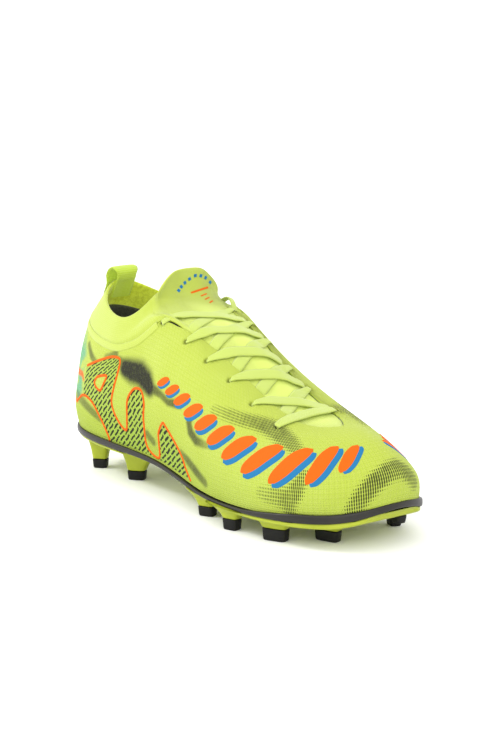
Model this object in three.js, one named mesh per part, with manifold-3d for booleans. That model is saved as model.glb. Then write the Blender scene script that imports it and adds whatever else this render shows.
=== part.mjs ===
// Soccer cleat for a right foot: sock-fit knit boot on a moulded plate with fixed studs.
// Millimetres. +Z is up, +X points to the toe, +Y to the inner (medial) side of the foot.
// The origin is on the ground under the middle of the shoe's own box.
import * as THREE from "three";
import { mergeVertices } from "three/addons/utils/BufferGeometryUtils.js";
import Module from "manifold-3d";

const wasm = await Module();
wasm.setup();

const group = new THREE.Group();

// ------------------------------------------------------------------ driving dimensions
const SLIVER = 0.04;            // edges and bumps smaller than this are merged away
const KNIT_THICKNESS = 1.6;
const COLLAR_THICKNESS = 2.2;
const TONGUE_THICKNESS = 2.0;
const TAB_THICKNESS = 2.4;
const LINING_THICKNESS = 1.8;
const GAP = 0.35;               // air kept between neighbouring pieces
const SLOT_LONG = 5.1;          // eyelet slots, along and across the lace's way in
const SLOT_WIDE = 6.2;
const SLOT_SHIFT = 1.4;         // of the slot's middle, past the eyelet's own point
const PLATE_THICKNESS = 2.2;
const FRAME_THICKNESS = 2.2;    // slab that carries the studs under the plate
const BOARD_THICKNESS = 1.7;
const BOARD_INSET = 5.4;        // from the plate's outline to the board's edge, inside the knit
const SOCKLINER_THICKNESS = 3.6;
const LACE_WIDTH = 6.6;
const LACE_THICKNESS = 1.3;
const LACE_WIDTH_IN_HOLE = 3.4;
const LOOP_WIDTH = 18;
const LOOP_THICKNESS = 1.5;
const RIBS = 16;                // ribs round the last, heel centre is rib 0, toe centre rib 8
const AXIS_Y = 2.5;             // the last's centre line
const LAST_SHIFT = new THREE.Vector3(4, AXIS_Y, 2);

// The last, level by level from the lasting edge up to the collar. Each station is
// [x, lateral y, medial y, z], from the heel centre to the toe (or the instep) centre.
const LEVELS = [
  // lasting edge, down inside the plate's rim
  [[-141.2, 0, 0, 24.4], [-125.5, -23.5, 23, 24], [-85, -32.5, 28, 23.1], [-34, -34.5, 25, 21.2], [13, -41, 31, 14.5],
    [58, -45.8, 41, 13.9], [94, -40.5, 38, 15.3], [119.5, -22, 26.5, 17.7], [130.5, 3, 3, 22.7]],
  // just above the rim
  [[-144, 0, 0, 40], [-128, -25.5, 25.3, 38], [-86, -34, 30, 37], [-34, -37, 28, 36], [14, -43, 34, 31.5],
    [58, -48, 43, 28.5], [94, -42, 39, 29], [119, -23, 26.5, 32], [131, 3, 3, 37]],
  // widest part of the heel and the ball
  [[-142, 0, 0, 55], [-127.3, -25, 25, 53], [-86, -35, 31, 52], [-38, -38, 30, 54], [8, -42, 35, 50],
    [52, -45, 41, 44], [87, -37, 33.8, 43], [110, -19, 20.4, 45], [119.6, 3, 3, 48]],
  // shoulder of the vamp
  [[-141.2, 0, 0, 73], [-124, -24, 23, 70], [-82, -35, 31, 67], [-39, -36, 31, 76], [0, -37, 32, 73],
    [36, -37, 31.6, 64], [67, -30, 25.6, 58], [88.5, -16, 15.4, 55.5], [96.8, 2, 2, 56.5]],
  // collar seam at the back, eyelet line at the front
  [[-136, 0, 0, 91], [-116.5, -23, 22, 86], [-72, -33, 31, 84], [-38, -29, 28, 101], [-10, -24, 24, 94],
    [14, -21, 20.2, 84], [36, -16, 15, 74], [51, -9, 8.2, 67], [57, 0, 0, 65]],
  // middle of the collar and the instep
  [[-130.2, 0, 0, 98], [-113, -22, 21, 93], [-71, -31.5, 30, 90], [-47, -27, 26, 104], [-28, -22, 23, 104],
    [-14, -18, 18.2, 101], [-4, -13, 14, 98], [3, -7, 7, 96], [6, 0, 0, 96]],
  // foot of the tab
  [[-123, 0, 0, 106], [-108, -21, 20, 100], [-70, -30, 29, 96], [-52, -24, 25, 106], [-47, -21, 23, 109],
    [-45, -18, 20, 110], [-43, -13, 15, 111], [-42, -7, 8, 111], [-42, 0, 0, 111]],
  // collar edge and top of the tab, where the fifth number is the height on the lateral side
  [[-118, 0, 0, 115], [-104, -19, 19, 108, 105.2], [-71, -29, 28, 102, 100.6], [-55, -22, 24, 110, 113.2],
    [-51, -20, 24, 114.5, 117.2], [-50, -15.6, 22, 119, 122.6], [-49, -10.6, 15.6, 125, 127.6],
    [-48, -5, 9.4, 128.6, 129.3], [-48, 2, 2, 129.4]],
];

// The plate's outline in plan, and the height of the lower edge of its rim.
const SOLE = [
  [-144, 0, 0, 21.7], [-128.5, -25, 25, 21.3], [-87, -35, 31, 20.4], [-35, -36.5, 27, 18.5], [13, -43, 33, 11.8],
  [58, -48, 43, 11.2], [95, -43, 40, 12.6], [121, -24, 29, 15], [133, 3, 3, 20],
];
// How tall the rim stands at each of those stations.
const RIM_HEIGHT = [5.2, 5.0, 4.6, 3.2, 3.0, 3.8, 5.6, 5.6, 5.2];

// Eyelets and the throat's edge on the last, as [rib, level].
const LATERAL_EYELETS = [[3.05, 4.0], [3.7, 3.75], [4.3, 3.68], [4.98, 3.62], [5.53, 3.38], [6.03, 3.03]];
const MEDIAL_EYELETS = [[10.6, 5.45], [10.6, 5.0], [10.45, 4.6], [10.1, 4.2], [9.8, 3.9], [9.4, 3.5]];
// Top edge of the knit upper: [position round the shoe, rib, level].
const UPPER_TOP = [
  [0, 0, 4.1], [1, 1, 4.08], [1.6, 1.6, 4.06], [2, 2, 3.93], [2.5, 2.5, 3.78], [2.8, 2.8, 3.9], [3, 3, 4.1],
  [3.4, 3.45, 4.04], [4, 4.17, 4.3], [4.6, 4.73, 4.22], [5.3, 5.45, 4.05], [6, 6.15, 3.77], [6.7, 6.75, 3.44],
  [7.3, 7.3, 3.36], [8, 8.05, 3.34], [8.6, 8.95, 3.5], [9.2, 9.42, 3.9], [10, 9.45, 4.55],
  [10.8, 9.65, 4.95], [11.6, 9.85, 5.32], [12.3, 10.2, 5.66], [12.8, 11.4, 5.2], [13.2, 12.7, 4.5],
  [13.5, 13.45, 3.95], [14, 14, 3.93], [15, 15, 4.08], [16, 16, 4.1],
];
// Lower edge of the tongue under the throat: [rib, level].
const TONGUE_LOW = [
  [3.2, 4.2], [3.6, 4.1], [4.2, 4.05], [4.7, 3.88], [5.4, 3.75], [6.1, 3.55], [6.8, 3.3], [7.5, 3.2],
  [8.3, 3.1], [9.2, 3.2], [9.8, 3.55], [10.3, 3.9], [10.8, 4.3], [11.5, 4.45], [12.2, 4.4], [12.8, 4.2],
];

// Studs: centre, size of the tip along X and Y, height of the tip, clearance under it.
const STUDS = [
  { name: "heel_lateral_rear", x: -116, y: -11, long: 8, wide: 7, tip: 5.9, lift: 0 },
  { name: "heel_lateral_front", x: -76, y: -12, long: 9.6, wide: 7, tip: 5.9, lift: 0 },
  { name: "heel_medial_rear", x: -113, y: 16, long: 7.2, wide: 7, tip: 5.9, lift: 0 },
  { name: "heel_medial_front", x: -74, y: 19, long: 8.6, wide: 7, tip: 5.9, lift: 0 },
  { name: "lateral_1", x: 16, y: -31, long: 8.6, wide: 6.6, tip: 6.2, lift: 0 },
  { name: "lateral_2", x: 47.5, y: -39, long: 8.4, wide: 6, tip: 6.2, lift: 0 },
  { name: "lateral_3", x: 80, y: -34.5, long: 14, wide: 6.6, tip: 6.6, lift: 0 },
  { name: "lateral_4", x: 98.5, y: -13.5, long: 14, wide: 6.6, tip: 6, lift: 0 },
  { name: "medial_1", x: 8, y: 29, long: 8, wide: 6.6, tip: 6.2, lift: 0 },
  { name: "medial_2", x: 43, y: 36, long: 9, wide: 6.4, tip: 6.2, lift: 0 },
  { name: "medial_3", x: 97, y: 35, long: 8.6, wide: 6.4, tip: 6.2, lift: 0 },
  { name: "toe", x: 120.5, y: 16, long: 7.4, wide: 7.4, tip: 4.8, lift: 8.6 },
];

const COLOURS = {
  knit: 0xd3ea5e, collar: 0xdcec79, lining: 0x2e332c, plate: 0x4a4644,
  lime: 0xc3dc50, tip: 0x32302d, lace: 0xdff07f, board: 0x6b6a62, loop: 0xd8ea62,
};

// ------------------------------------------------------------------ spline last
const weights = (t) => [
  (1 - t) ** 3 / 6,
  (3 * t ** 3 - 6 * t ** 2 + 4) / 6,
  (-3 * t ** 3 + 3 * t ** 2 + 3 * t + 1) / 6,
  t ** 3 / 6,
];
const wrap = (i) => ((i % RIBS) + RIBS) % RIBS;

// Turns nine stations into sixteen ribs: the lateral side out to the toe, the medial side back.
function closeStations(stations) {
  const ribs = stations.map(([x, lateral, , z, lateralZ = z]) => new THREE.Vector3(x, lateral, lateralZ));
  for (let i = 7; i > 0; i -= 1) {
    ribs.push(new THREE.Vector3(stations[i][0], stations[i][2], stations[i][3]));
  }
  return ribs.map((p) => p.add(LAST_SHIFT));
}

function smoothRound(row) {
  return row.map((p, i) => p.clone().multiplyScalar(4)
    .add(row[wrap(i - 1)]).add(row[wrap(i + 1)]).divideScalar(6));
}
function smoothUp(rows) {
  return rows.map((row, j) => {
    if (j === 0 || j === rows.length - 1) {
      return row.map((p) => p.clone());
    }
    return row.map((p, i) => p.clone().multiplyScalar(4)
      .add(rows[j - 1][i]).add(rows[j + 1][i]).divideScalar(6));
  });
}
// Control points whose spline passes through the given points, found by repeated correction.
function controlPoints(rows) {
  let control = rows.map((row) => row.map((p) => p.clone()));
  for (let pass = 0; pass < 12; pass += 1) {
    const smooth = smoothUp(control.map(smoothRound));
    control = control.map((row, j) => row.map((p, i) => p.clone().add(rows[j][i]).sub(smooth[j][i])));
  }
  return control;
}
const lastControl = controlPoints(LEVELS.map(closeStations));
const soleControl = controlPoints([closeStations(SOLE)])[0];

function controlRow(j) {
  const top = lastControl.length - 1;
  if (j < 0) {
    return lastControl[0].map((p, i) => p.clone().multiplyScalar(2).sub(lastControl[1][i]));
  }
  if (j > top) {
    return lastControl[top].map((p, i) => p.clone().multiplyScalar(2).sub(lastControl[top - 1][i]));
  }
  return lastControl[j];
}
const paddedControl = [];
for (let j = -1; j <= lastControl.length; j += 1) {
  paddedControl.push(controlRow(j));
}

function surface(u, v) {
  const iu = Math.floor(u);
  const iv = Math.min(Math.max(Math.floor(v), 0), lastControl.length - 2);
  const wu = weights(u - iu);
  const wv = weights(v - iv);
  const p = new THREE.Vector3();
  for (let a = 0; a < 4; a += 1) {
    for (let b = 0; b < 4; b += 1) {
      p.addScaledVector(paddedControl[iv + a][wrap(iu - 1 + b)], wv[a] * wu[b]);
    }
  }
  return p;
}
const STEP = 0.02;
function tangents(u, v) {
  const round = surface(u + STEP, v).sub(surface(u - STEP, v)).divideScalar(2 * STEP);
  const up = surface(u, v + STEP).sub(surface(u, v - STEP)).divideScalar(2 * STEP);
  return [round, up];
}
function outward(u, v) {
  const [round, up] = tangents(u, v);
  return round.cross(up).normalize();
}
function lastPoint(u, v, offset) {
  return surface(u, v).addScaledVector(outward(u, v), offset);
}
// The place on the last nearest to a point, from a first guess.
function settle(target, guess) {
  let [u, v] = guess;
  for (let pass = 0; pass < 14; pass += 1) {
    const [round, up] = tangents(u, v);
    const miss = target.clone().sub(surface(u, v));
    const a = round.dot(round);
    const b = round.dot(up);
    const c = up.dot(up);
    const e = miss.dot(round);
    const f = miss.dot(up);
    const det = a * c - b * b;
    u += THREE.MathUtils.clamp((e * c - b * f) / det, -0.5, 0.5);
    v += THREE.MathUtils.clamp((a * f - b * e) / det, -0.4, 0.4);
    v = THREE.MathUtils.clamp(v, 0.1, 6.9);
  }
  return [u, v];
}
// Straight-line reading of a list of [position, values...].
function read(table, at) {
  let i = 0;
  while (i < table.length - 2 && at > table[i + 1][0]) {
    i += 1;
  }
  const part = THREE.MathUtils.clamp((at - table[i][0]) / (table[i + 1][0] - table[i][0]), 0, 1);
  return table[i].slice(1).map((value, k) => value + (table[i + 1][k + 1] - value) * part);
}

// ------------------------------------------------------------------ solids
// A closed body from rings of equal length. Open runs are capped by strips across the ring.
function sweepRings(rings, closed = false) {
  const count = rings[0].length;
  const vertices = [];
  rings.forEach((ring) => ring.forEach((p) => vertices.push(p.x, p.y, p.z)));
  const triangles = [];
  const quad = (a, b, c, d) => triangles.push(a, b, c, a, c, d);
  const runs = closed ? rings.length : rings.length - 1;
  for (let r = 0; r < runs; r += 1) {
    const next = (r + 1) % rings.length;
    for (let k = 0; k < count; k += 1) {
      const k2 = (k + 1) % count;
      quad(r * count + k, r * count + k2, next * count + k2, next * count + k);
    }
  }
  if (!closed) {
    const end = (rings.length - 1) * count;
    for (let k = 0; k < count / 2 - 1; k += 1) {
      const far = count - 1 - k;
      quad(k, far, far - 1, k + 1);
      quad(end + k, end + k + 1, end + far - 1, end + far);
    }
  }
  const geometry = new THREE.BufferGeometry();
  geometry.setAttribute("position", new THREE.Float32BufferAttribute(vertices, 3));
  geometry.setIndex(triangles);
  return toSolid(geometry);
}
function toSolid(source) {
  const geometry = source.index ? source : source.clone();
  geometry.deleteAttribute("normal");
  geometry.deleteAttribute("uv");
  const merged = mergeVertices(geometry, 1e-4);
  const index = Array.from(merged.index.array);
  const points = Float32Array.from(merged.attributes.position.array);
  const kept = [];
  for (let t = 0; t < index.length; t += 3) {
    const [a, b, c] = index.slice(t, t + 3);
    if (a !== b && b !== c && c !== a) {
      kept.push(a, b, c);
    }
  }
  if (signedVolume(points, kept) < 0) {
    kept.reverse();
  }
  const mesh = new wasm.Mesh({ numProp: 3, vertProperties: points, triVerts: Uint32Array.from(kept) });
  return new wasm.Manifold(mesh);
}
function signedVolume(points, index) {
  let sum = 0;
  const at = (i) => new THREE.Vector3(points[3 * i], points[3 * i + 1], points[3 * i + 2]);
  for (let t = 0; t < index.length; t += 3) {
    sum += at(index[t]).dot(at(index[t + 1]).cross(at(index[t + 2])));
  }
  return sum;
}
// Drops crumbs that a cut may leave, and keeps the main body.
function mainBody(solid) {
  const pieces = solid.decompose();
  return pieces.reduce((best, piece) => (piece.volume() > best.volume() ? piece : best), pieces[0]);
}
function addPart(name, solid, colour, roughness = 0.8) {
  const mesh = mainBody(solid).asOriginal().simplify(SLIVER).getMesh();
  const geometry = new THREE.BufferGeometry();
  geometry.setAttribute("position", new THREE.Float32BufferAttribute(mesh.vertProperties, 3));
  geometry.setIndex(Array.from(mesh.triVerts));
  geometry.computeVertexNormals();
  const part = new THREE.Mesh(geometry, new THREE.MeshStandardMaterial({ color: colour, roughness }));
  part.name = name;
  group.add(part);
}

// A sheet of even thickness on the last. place(t, s) gives [rib, level] and skin(t, s) the
// offset of its outer face; t runs round the shoe and s up it.
function sheetOnLast({ place, skin, thickness, around, from, to, closed, up }) {
  const rings = [];
  const columns = closed ? around : around + 1;
  for (let i = 0; i < columns; i += 1) {
    const t = from + ((to - from) * i) / around;
    const ring = [];
    for (let j = 0; j <= up; j += 1) {
      ring.push(lastPoint(...place(t, j / up), skin(t, j / up)));
    }
    for (let j = up; j >= 0; j -= 1) {
      ring.push(lastPoint(...place(t, j / up), skin(t, j / up) - thickness));
    }
    rings.push(ring);
  }
  return sweepRings(rings, closed);
}

// ------------------------------------------------------------------ sole
function rimHeight(u) {
  const station = u <= 8 ? u : RIBS - u;
  return read(RIM_HEIGHT.map((h, i) => [i, h]), station)[0];
}
function solePoint(u) {
  const iu = Math.floor(u);
  const w = weights(u - iu);
  const p = new THREE.Vector3();
  for (let b = 0; b < 4; b += 1) {
    p.addScaledVector(soleControl[wrap(iu - 1 + b)], w[b]);
  }
  return p;
}
// A point on the outline moved inwards in plan by inset and up by rise.
function soleEdge(u, inset, rise) {
  const along = solePoint(u + STEP).sub(solePoint(u - STEP)).setZ(0).normalize();
  return solePoint(u).add(new THREE.Vector3(-along.y * inset, along.x * inset, rise));
}
const SOLE_COLUMNS = 64;
function soleLoop(inset, rise) {
  const loop = [];
  for (let k = 0; k < SOLE_COLUMNS; k += 1) {
    const u = (RIBS * (k + 0.5)) / SOLE_COLUMNS;
    loop.push(soleEdge(u, inset, typeof rise === "function" ? rise(u) : rise));
  }
  return loop;
}
function platePart() {
  const shoulder = (u) => rimHeight(u) - 0.7;
  const plate = sweepRings([
    soleLoop(9, PLATE_THICKNESS),
    soleLoop(3.4, PLATE_THICKNESS),
    soleLoop(1.9, rimHeight),
    soleLoop(0.5, rimHeight),
    soleLoop(0, shoulder),
    soleLoop(0, 0.9),
    soleLoop(0.9, 0),
    soleLoop(9, 0),
  ]);
  return plate.subtract(lastEnvelope());
}
// The outside of the knit low down, with air round it.
function lastEnvelope() {
  const rings = [];
  for (let j = 0; j <= 4; j += 1) {
    const ring = [];
    for (let k = 0; k < SOLE_COLUMNS; k += 1) {
      ring.push(lastPoint((RIBS * (k + 0.5)) / SOLE_COLUMNS, j * 0.35, GAP));
    }
    rings.push(ring);
  }
  return sweepRings(rings);
}
// Everything above the plate's underside, used to trim what hangs below it.
function aboveSole() {
  return sweepRings([
    soleLoop(9, -GAP), soleLoop(0.9, -GAP), soleLoop(-4, -GAP), soleLoop(-4, 40), soleLoop(9, 40),
  ]);
}
function outlinePrism(inset) {
  const floor = soleLoop(inset, 0).map((p) => p.setZ(-5));
  const roof = soleLoop(inset, 0).map((p) => p.setZ(45));
  return sweepRings([floor, roof]);
}
function roundedRing(x, y, z, long, wide, points = 16) {
  const ring = [];
  for (let k = 0; k < points; k += 1) {
    const angle = (2 * Math.PI * (k + 0.5)) / points;
    const c = Math.cos(angle);
    const s = Math.sin(angle);
    const squareness = 0.45;
    ring.push(new THREE.Vector3(
      x + 0.5 * long * Math.sign(c) * Math.abs(c) ** squareness,
      y + 0.5 * wide * Math.sign(s) * Math.abs(s) ** squareness,
      z,
    ));
  }
  return ring;
}
// Height of the plate's lower edge near x, from the lateral side of the outline.
function soleHeight(x) {
  const stations = SOLE.map(([sx, , , sz]) => [sx + LAST_SHIFT.x, sz + LAST_SHIFT.z]);
  return read(stations, x)[0];
}
const ROOT_BURIED = 1.5;        // how far a stud's root runs up into the frame
const ROOT_LEAN = 0.22;         // outward lean of a root, as a share of its height
// The root's flare: (share of the way down, size against the tip).
const ROOT_FLARE = [[0, 2.6], [0.25, 1.95], [0.5, 1.45], [0.75, 1.2], [1, 1.08]];
// The flared root of a stud, from the frame down to its tip.
function studRoot(stud) {
  const top = soleHeight(stud.x) + ROOT_BURIED;
  const bottom = stud.lift + stud.tip + GAP;
  const drop = top - bottom;
  const side = stud.y < AXIS_Y ? -1 : 1;
  const lean = ROOT_LEAN * drop * side;
  const rings = ROOT_FLARE.map(([part, scale]) => roundedRing(
    stud.x,
    stud.y + lean * (1 - part),
    top - drop * part,
    stud.long * scale,
    stud.wide * scale,
  ));
  return sweepRings(rings);
}
const FRAME_INSET = 1.2;        // of the slab from the plate's outline at its top
const FRAME_FOOT_INSET = 2.4;
const FRAME_OVERRUN = 0.5;      // the slab starts this far up, then is cut back under the plate
function framePart(fromRib, toRib, studs) {
  const rings = [];
  const steps = 26;
  for (let i = 0; i <= steps; i += 1) {
    const u = fromRib + ((toRib - fromRib) * i) / steps;
    const top = [u, RIBS - u].map((rib) => soleEdge(rib, FRAME_INSET, FRAME_OVERRUN));
    const low = [RIBS - u, u].map((rib) => soleEdge(rib, FRAME_FOOT_INSET, -FRAME_THICKNESS));
    rings.push([top[0], top[1], low[0], low[1]]);
  }
  let frame = sweepRings(rings);
  studs.forEach((stud) => {
    frame = frame.add(studRoot(stud));
  });
  return frame.intersect(outlinePrism(1)).subtract(aboveSole());
}
function tipPart(stud) {
  const top = stud.lift + stud.tip;
  const { x, y, long, wide, lift } = stud;
  return sweepRings([
    roundedRing(x, y, top, long * 1.08, wide * 1.08),
    roundedRing(x, y, top - 0.8, long * 1.06, wide * 1.06),
    roundedRing(x, y, lift + 1, long, wide),
    roundedRing(x, y, lift, long - 1.6, wide - 1.6),
  ]);
}
function boardPart() {
  const low = PLATE_THICKNESS + GAP;
  const high = low + BOARD_THICKNESS;
  return sweepRings([
    soleLoop(9, low), soleLoop(BOARD_INSET, low), soleLoop(BOARD_INSET, high), soleLoop(9, high),
  ]);
}
function socklinerPart() {
  const low = PLATE_THICKNESS + BOARD_THICKNESS + 3 * GAP;
  const high = low + SOCKLINER_THICKNESS;
  const cup = (u) => high + 3.5 * THREE.MathUtils.smoothstep(Math.abs(u - 8), 4.5, 7);
  return sweepRings([
    soleLoop(13, low), soleLoop(9, low), soleLoop(7.4, high - 1), soleLoop(8.4, cup), soleLoop(11, high),
    soleLoop(13, high),
  ]);
}

// ------------------------------------------------------------------ upper
const onUpper = (t, s) => {
  const [rib, level] = read(UPPER_TOP, t);
  const lean = s * s;
  return [t + (rib - t) * lean, level * s];
};
function upperPart() {
  return sheetOnLast({
    place: onUpper, skin: () => 0, thickness: KNIT_THICKNESS, around: 60, from: 0, to: RIBS, closed: true, up: 9,
  });
}
// The knit ankle collar, from the seam up to the edge, round the back of the ankle.
function collarPart() {
  const place = (t, s) => {
    const [, seam] = read(UPPER_TOP, (t + RIBS) % RIBS);
    const low = seam + 0.05;
    return [t, low + (7 - low) * s];
  };
  return sheetOnLast({
    place, skin: () => 0, thickness: COLLAR_THICKNESS, around: 30, from: -2.95, to: 2.95, closed: false, up: 6,
  });
}
const TAB_FOOT = 6.08;          // level of the fold between tongue and tab
const TONGUE_RISE_FOOT = 5.4;   // the tongue rises to the surface between these levels
const TONGUE_RISE_TOP = 5.75;
const TONGUE_FIRST_RIB = 3.2;
const TONGUE_LAST_RIB = 12.8;
const UNDER_KNIT = 2.4;         // depth of the tongue below the last's surface
const UNDER_LACE = 1.9;         // further depth where the lace runs over it
const UNDER_KNIT_AT_SIDES = 2.05;
function tongueSkin(u, v) {
  const deep = 1 - THREE.MathUtils.smoothstep(v, TONGUE_RISE_FOOT, TONGUE_RISE_TOP);
  const flush = THREE.MathUtils.smoothstep(v, TONGUE_RISE_TOP, TAB_FOOT);
  const side = Math.min(u - TONGUE_FIRST_RIB, TONGUE_LAST_RIB - u);
  const sideFlush = 1 - THREE.MathUtils.smoothstep(side, 0, 0.5);
  const lowered = -UNDER_KNIT * (1 - flush) - UNDER_LACE * deep;
  return lowered * (1 - sideFlush) - UNDER_KNIT_AT_SIDES * sideFlush * (1 - flush);
}
function tonguePart() {
  const place = (t, s) => {
    const low = read(TONGUE_LOW, t)[0];
    return [t, low + (TAB_FOOT - 0.04 - low) * s];
  };
  return sheetOnLast({
    place,
    skin: (t, s) => tongueSkin(...place(t, s)),
    thickness: TONGUE_THICKNESS,
    around: 30,
    from: TONGUE_FIRST_RIB,
    to: TONGUE_LAST_RIB,
    closed: false,
    up: 9,
  });
}
function tabPart() {
  const place = (t, s) => [t, TAB_FOOT + (7 - TAB_FOOT) * s];
  return sheetOnLast({
    place, skin: () => 0, thickness: TAB_THICKNESS, around: 26, from: TONGUE_FIRST_RIB,
    to: TONGUE_LAST_RIB, closed: false, up: 5,
  });
}
// Black padded lining inside the heel, under the collar.
function liningPart() {
  const place = (t, s) => [t, 0.75 + 3.6 * s];
  const skin = () => -COLLAR_THICKNESS - GAP;
  return sheetOnLast({
    place, skin, thickness: LINING_THICKNESS, around: 26, from: -2.9, to: 2.9, closed: false, up: 6,
  });
}
// Webbing pull loop: up the back of the collar, over, and down inside it. Its two ends are sewn
// flat to the collar; the free loop above them swings about the outer end's top.
const LOOP_PATH = new THREE.CatmullRomCurve3([
  new THREE.Vector3(-120.4, 0, 108), new THREE.Vector3(-118.6, 0, 111.2), new THREE.Vector3(-116.9, 0, 114.4),
  new THREE.Vector3(-115.7, 0, 117.6), new THREE.Vector3(-114.6, 0, 121.2), new THREE.Vector3(-112, 0, 124.4),
  new THREE.Vector3(-108.2, 0, 125.1), new THREE.Vector3(-105.2, 0, 122.6), new THREE.Vector3(-106.2, 0, 119),
  new THREE.Vector3(-108.7, 0, 115.8), new THREE.Vector3(-111.3, 0, 111.4), new THREE.Vector3(-114.1, 0, 106.2),
]);
const LOOP_SPANS = 11;          // spans between the path's points
const OUTER_END_TOP = 2;        // in spans from the outer end
const FREE_LOOP = [2.25, 8.2];
const INNER_END_TOP = 9.35;
// How much the strap is bent across its width to the heel's own curve: [span, share].
const LOOP_BEND = [[0, 1], [2.25, 0.9], [3.6, 0.25], [7.6, 0.25], [8.2, 0.5], [9.35, 1], [11, 1]];
const HEEL_RADIUS = 14;
function strapPart(fromSpan, toSpan, steps) {
  const rings = [];
  const across = 6;
  for (let i = 0; i <= steps; i += 1) {
    const span = fromSpan + ((toSpan - fromSpan) * i) / steps;
    const p = LOOP_PATH.getPoint(span / LOOP_SPANS);
    const along = LOOP_PATH.getTangent(span / LOOP_SPANS);
    const face = new THREE.Vector3(-along.z, 0, along.x).multiplyScalar(0.5 * LOOP_THICKNESS);
    const bend = read(LOOP_BEND, span)[0] / (2 * HEEL_RADIUS);
    const edge = (k, side) => {
      const y = LOOP_WIDTH * (k / across - 0.5);
      const point = p.clone().addScaledVector(face, side);
      return point.add(new THREE.Vector3(bend * y * y, AXIS_Y + y, 0));
    };
    const ring = [];
    for (let k = 0; k <= across; k += 1) {
      ring.push(edge(k, -1));
    }
    for (let k = across; k >= 0; k -= 1) {
      ring.push(edge(k, 1));
    }
    rings.push(ring);
  }
  return sweepRings(rings);
}

// ------------------------------------------------------------------ lace
const OVER = 1.7;        // lace lying on the knit
const UNDER = -2.85;     // lace between the knit and the tongue
// One crossing from the eyelet it lies over to the eyelet it reaches from below.
function crossing(from, to, middle) {
  const a = surface(...from);
  const b = surface(...to);
  const bulge = new THREE.Vector3(0, 0, 6);
  const dive = middle > 0 ? 0.56 : 0.42;
  const depths = [[0, OVER], [0.22, OVER], [0.36, middle], [dive, middle], [dive + 0.15, UNDER], [1, UNDER]];
  const points = [];
  const samples = 8;
  for (let k = 0; k <= samples; k += 1) {
    const s = k / samples;
    const chord = a.clone().lerp(b, s).addScaledVector(bulge, 4 * s * (1 - s));
    const guess = [from[0] + (to[0] - from[0]) * s, from[1] + (to[1] - from[1]) * s];
    const spot = settle(chord, guess);
    points.push({ at: lastPoint(...spot, read(depths, s)[0]), normal: outward(...spot), width: LACE_WIDTH });
  }
  points[0].width = LACE_WIDTH * 0.75;
  points[samples].width = LACE_WIDTH * 0.75;
  return points;
}
// The turn through an eyelet, from below the knit to above it or back.
function throughEyelet(eyelet, before, after) {
  const normal = outward(...eyelet);
  const arriving = surface(...eyelet).sub(before.at);
  arriving.addScaledVector(normal, -arriving.dot(normal)).normalize();
  const at = lastPoint(...eyelet, 0.5 * (OVER + UNDER)).addScaledVector(arriving, 1.5);
  const mean = before.normal.clone().lerp(after.normal, 0.5);
  return { at, normal: mean, width: LACE_WIDTH_IN_HOLE, turn: true, eyelet, arriving };
}
// The slot punched through the knit for one turn of the lace.
function eyeletSlot({ eyelet, arriving }) {
  const normal = outward(...eyelet);
  const side = normal.clone().cross(arriving);
  const ringAt = (height) => roundedRing(0, 0, 0, SLOT_LONG, SLOT_WIDE, 12).map((p) => lastPoint(...eyelet, height)
    .addScaledVector(arriving, SLOT_SHIFT + p.x).addScaledVector(side, p.y));
  return sweepRings([ringAt(-5), ringAt(4)]);
}
function strandPoints(stops) {
  const strands = [];
  for (let k = 0; k < stops.length - 1; k += 1) {
    const [here, there] = [stops[k], stops[k + 1]];
    strands.push(crossing(here.spot, there.spot, there.middle));
  }
  const points = [...strands[0]];
  for (let k = 1; k < strands.length; k += 1) {
    const before = strands[k - 1][strands[k - 1].length - 2];
    points.push(throughEyelet(stops[k].spot, before, strands[k][1]));
    points.push(...strands[k]);
  }
  return points;
}
const MIDDLE_TOP = 0.75;
const MIDDLE_LOW = -1.1;
// Where an end of the lace goes in through its last eyelet and lies tucked under the knit.
function tuckedEnd(eyelet, away, first) {
  const turn = throughEyelet(eyelet, { at: first[1].at, normal: first[1].normal }, first[0]);
  const inside = [1, 0.5].map((part) => {
    const spot = [eyelet[0] + away[0] * part, eyelet[1] + away[1] * part];
    return { at: lastPoint(...spot, UNDER - 0.6), normal: outward(...spot), width: LACE_WIDTH * 0.6 };
  });
  return [...inside, turn];
}
// Half of the lace. Each stop is where the lace comes up through a hole, from the ankle down.
function laceHalf(first) {
  const stops = [];
  for (let row = 0; row < 6; row += 1) {
    const lateral = (row % 2 === 0) === (first === "lateral");
    const spot = lateral ? LATERAL_EYELETS[row] : MEDIAL_EYELETS[row];
    stops.push({ spot, middle: lateral ? MIDDLE_TOP : MIDDLE_LOW });
  }
  const points = strandPoints(stops);
  const away = first === "lateral" ? [-0.1, -0.45] : [0.8, -0.25];
  return [...tuckedEnd(stops[0].spot, away, points), ...points];
}
// The straight bar across the front, joining the two halves.
function frontBar(from, to) {
  const a = surface(...from);
  const b = surface(...to);
  const points = [];
  const samples = 7;
  for (let k = 0; k <= samples; k += 1) {
    const s = k / samples;
    const chord = a.clone().lerp(b, s).addScaledVector(new THREE.Vector3(0, 0, 5), 4 * s * (1 - s));
    const spot = settle(chord, [from[0] + (to[0] - from[0]) * s, from[1] + (to[1] - from[1]) * s]);
    points.push({ at: lastPoint(...spot, OVER), normal: outward(...spot), width: LACE_WIDTH });
  }
  return points;
}
function laceRoute() {
  const lateralHalf = laceHalf("lateral");
  const medialHalf = laceHalf("medial");
  const bar = frontBar(MEDIAL_EYELETS[5], LATERAL_EYELETS[5]);
  const ends = [lateralHalf[lateralHalf.length - 2], medialHalf[medialHalf.length - 2]];
  return [
    ...lateralHalf,
    throughEyelet(MEDIAL_EYELETS[5], ends[0], bar[1]),
    ...bar,
    throughEyelet(LATERAL_EYELETS[5], ends[1], bar[bar.length - 2]),
    ...medialHalf.reverse(),
  ];
}
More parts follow.
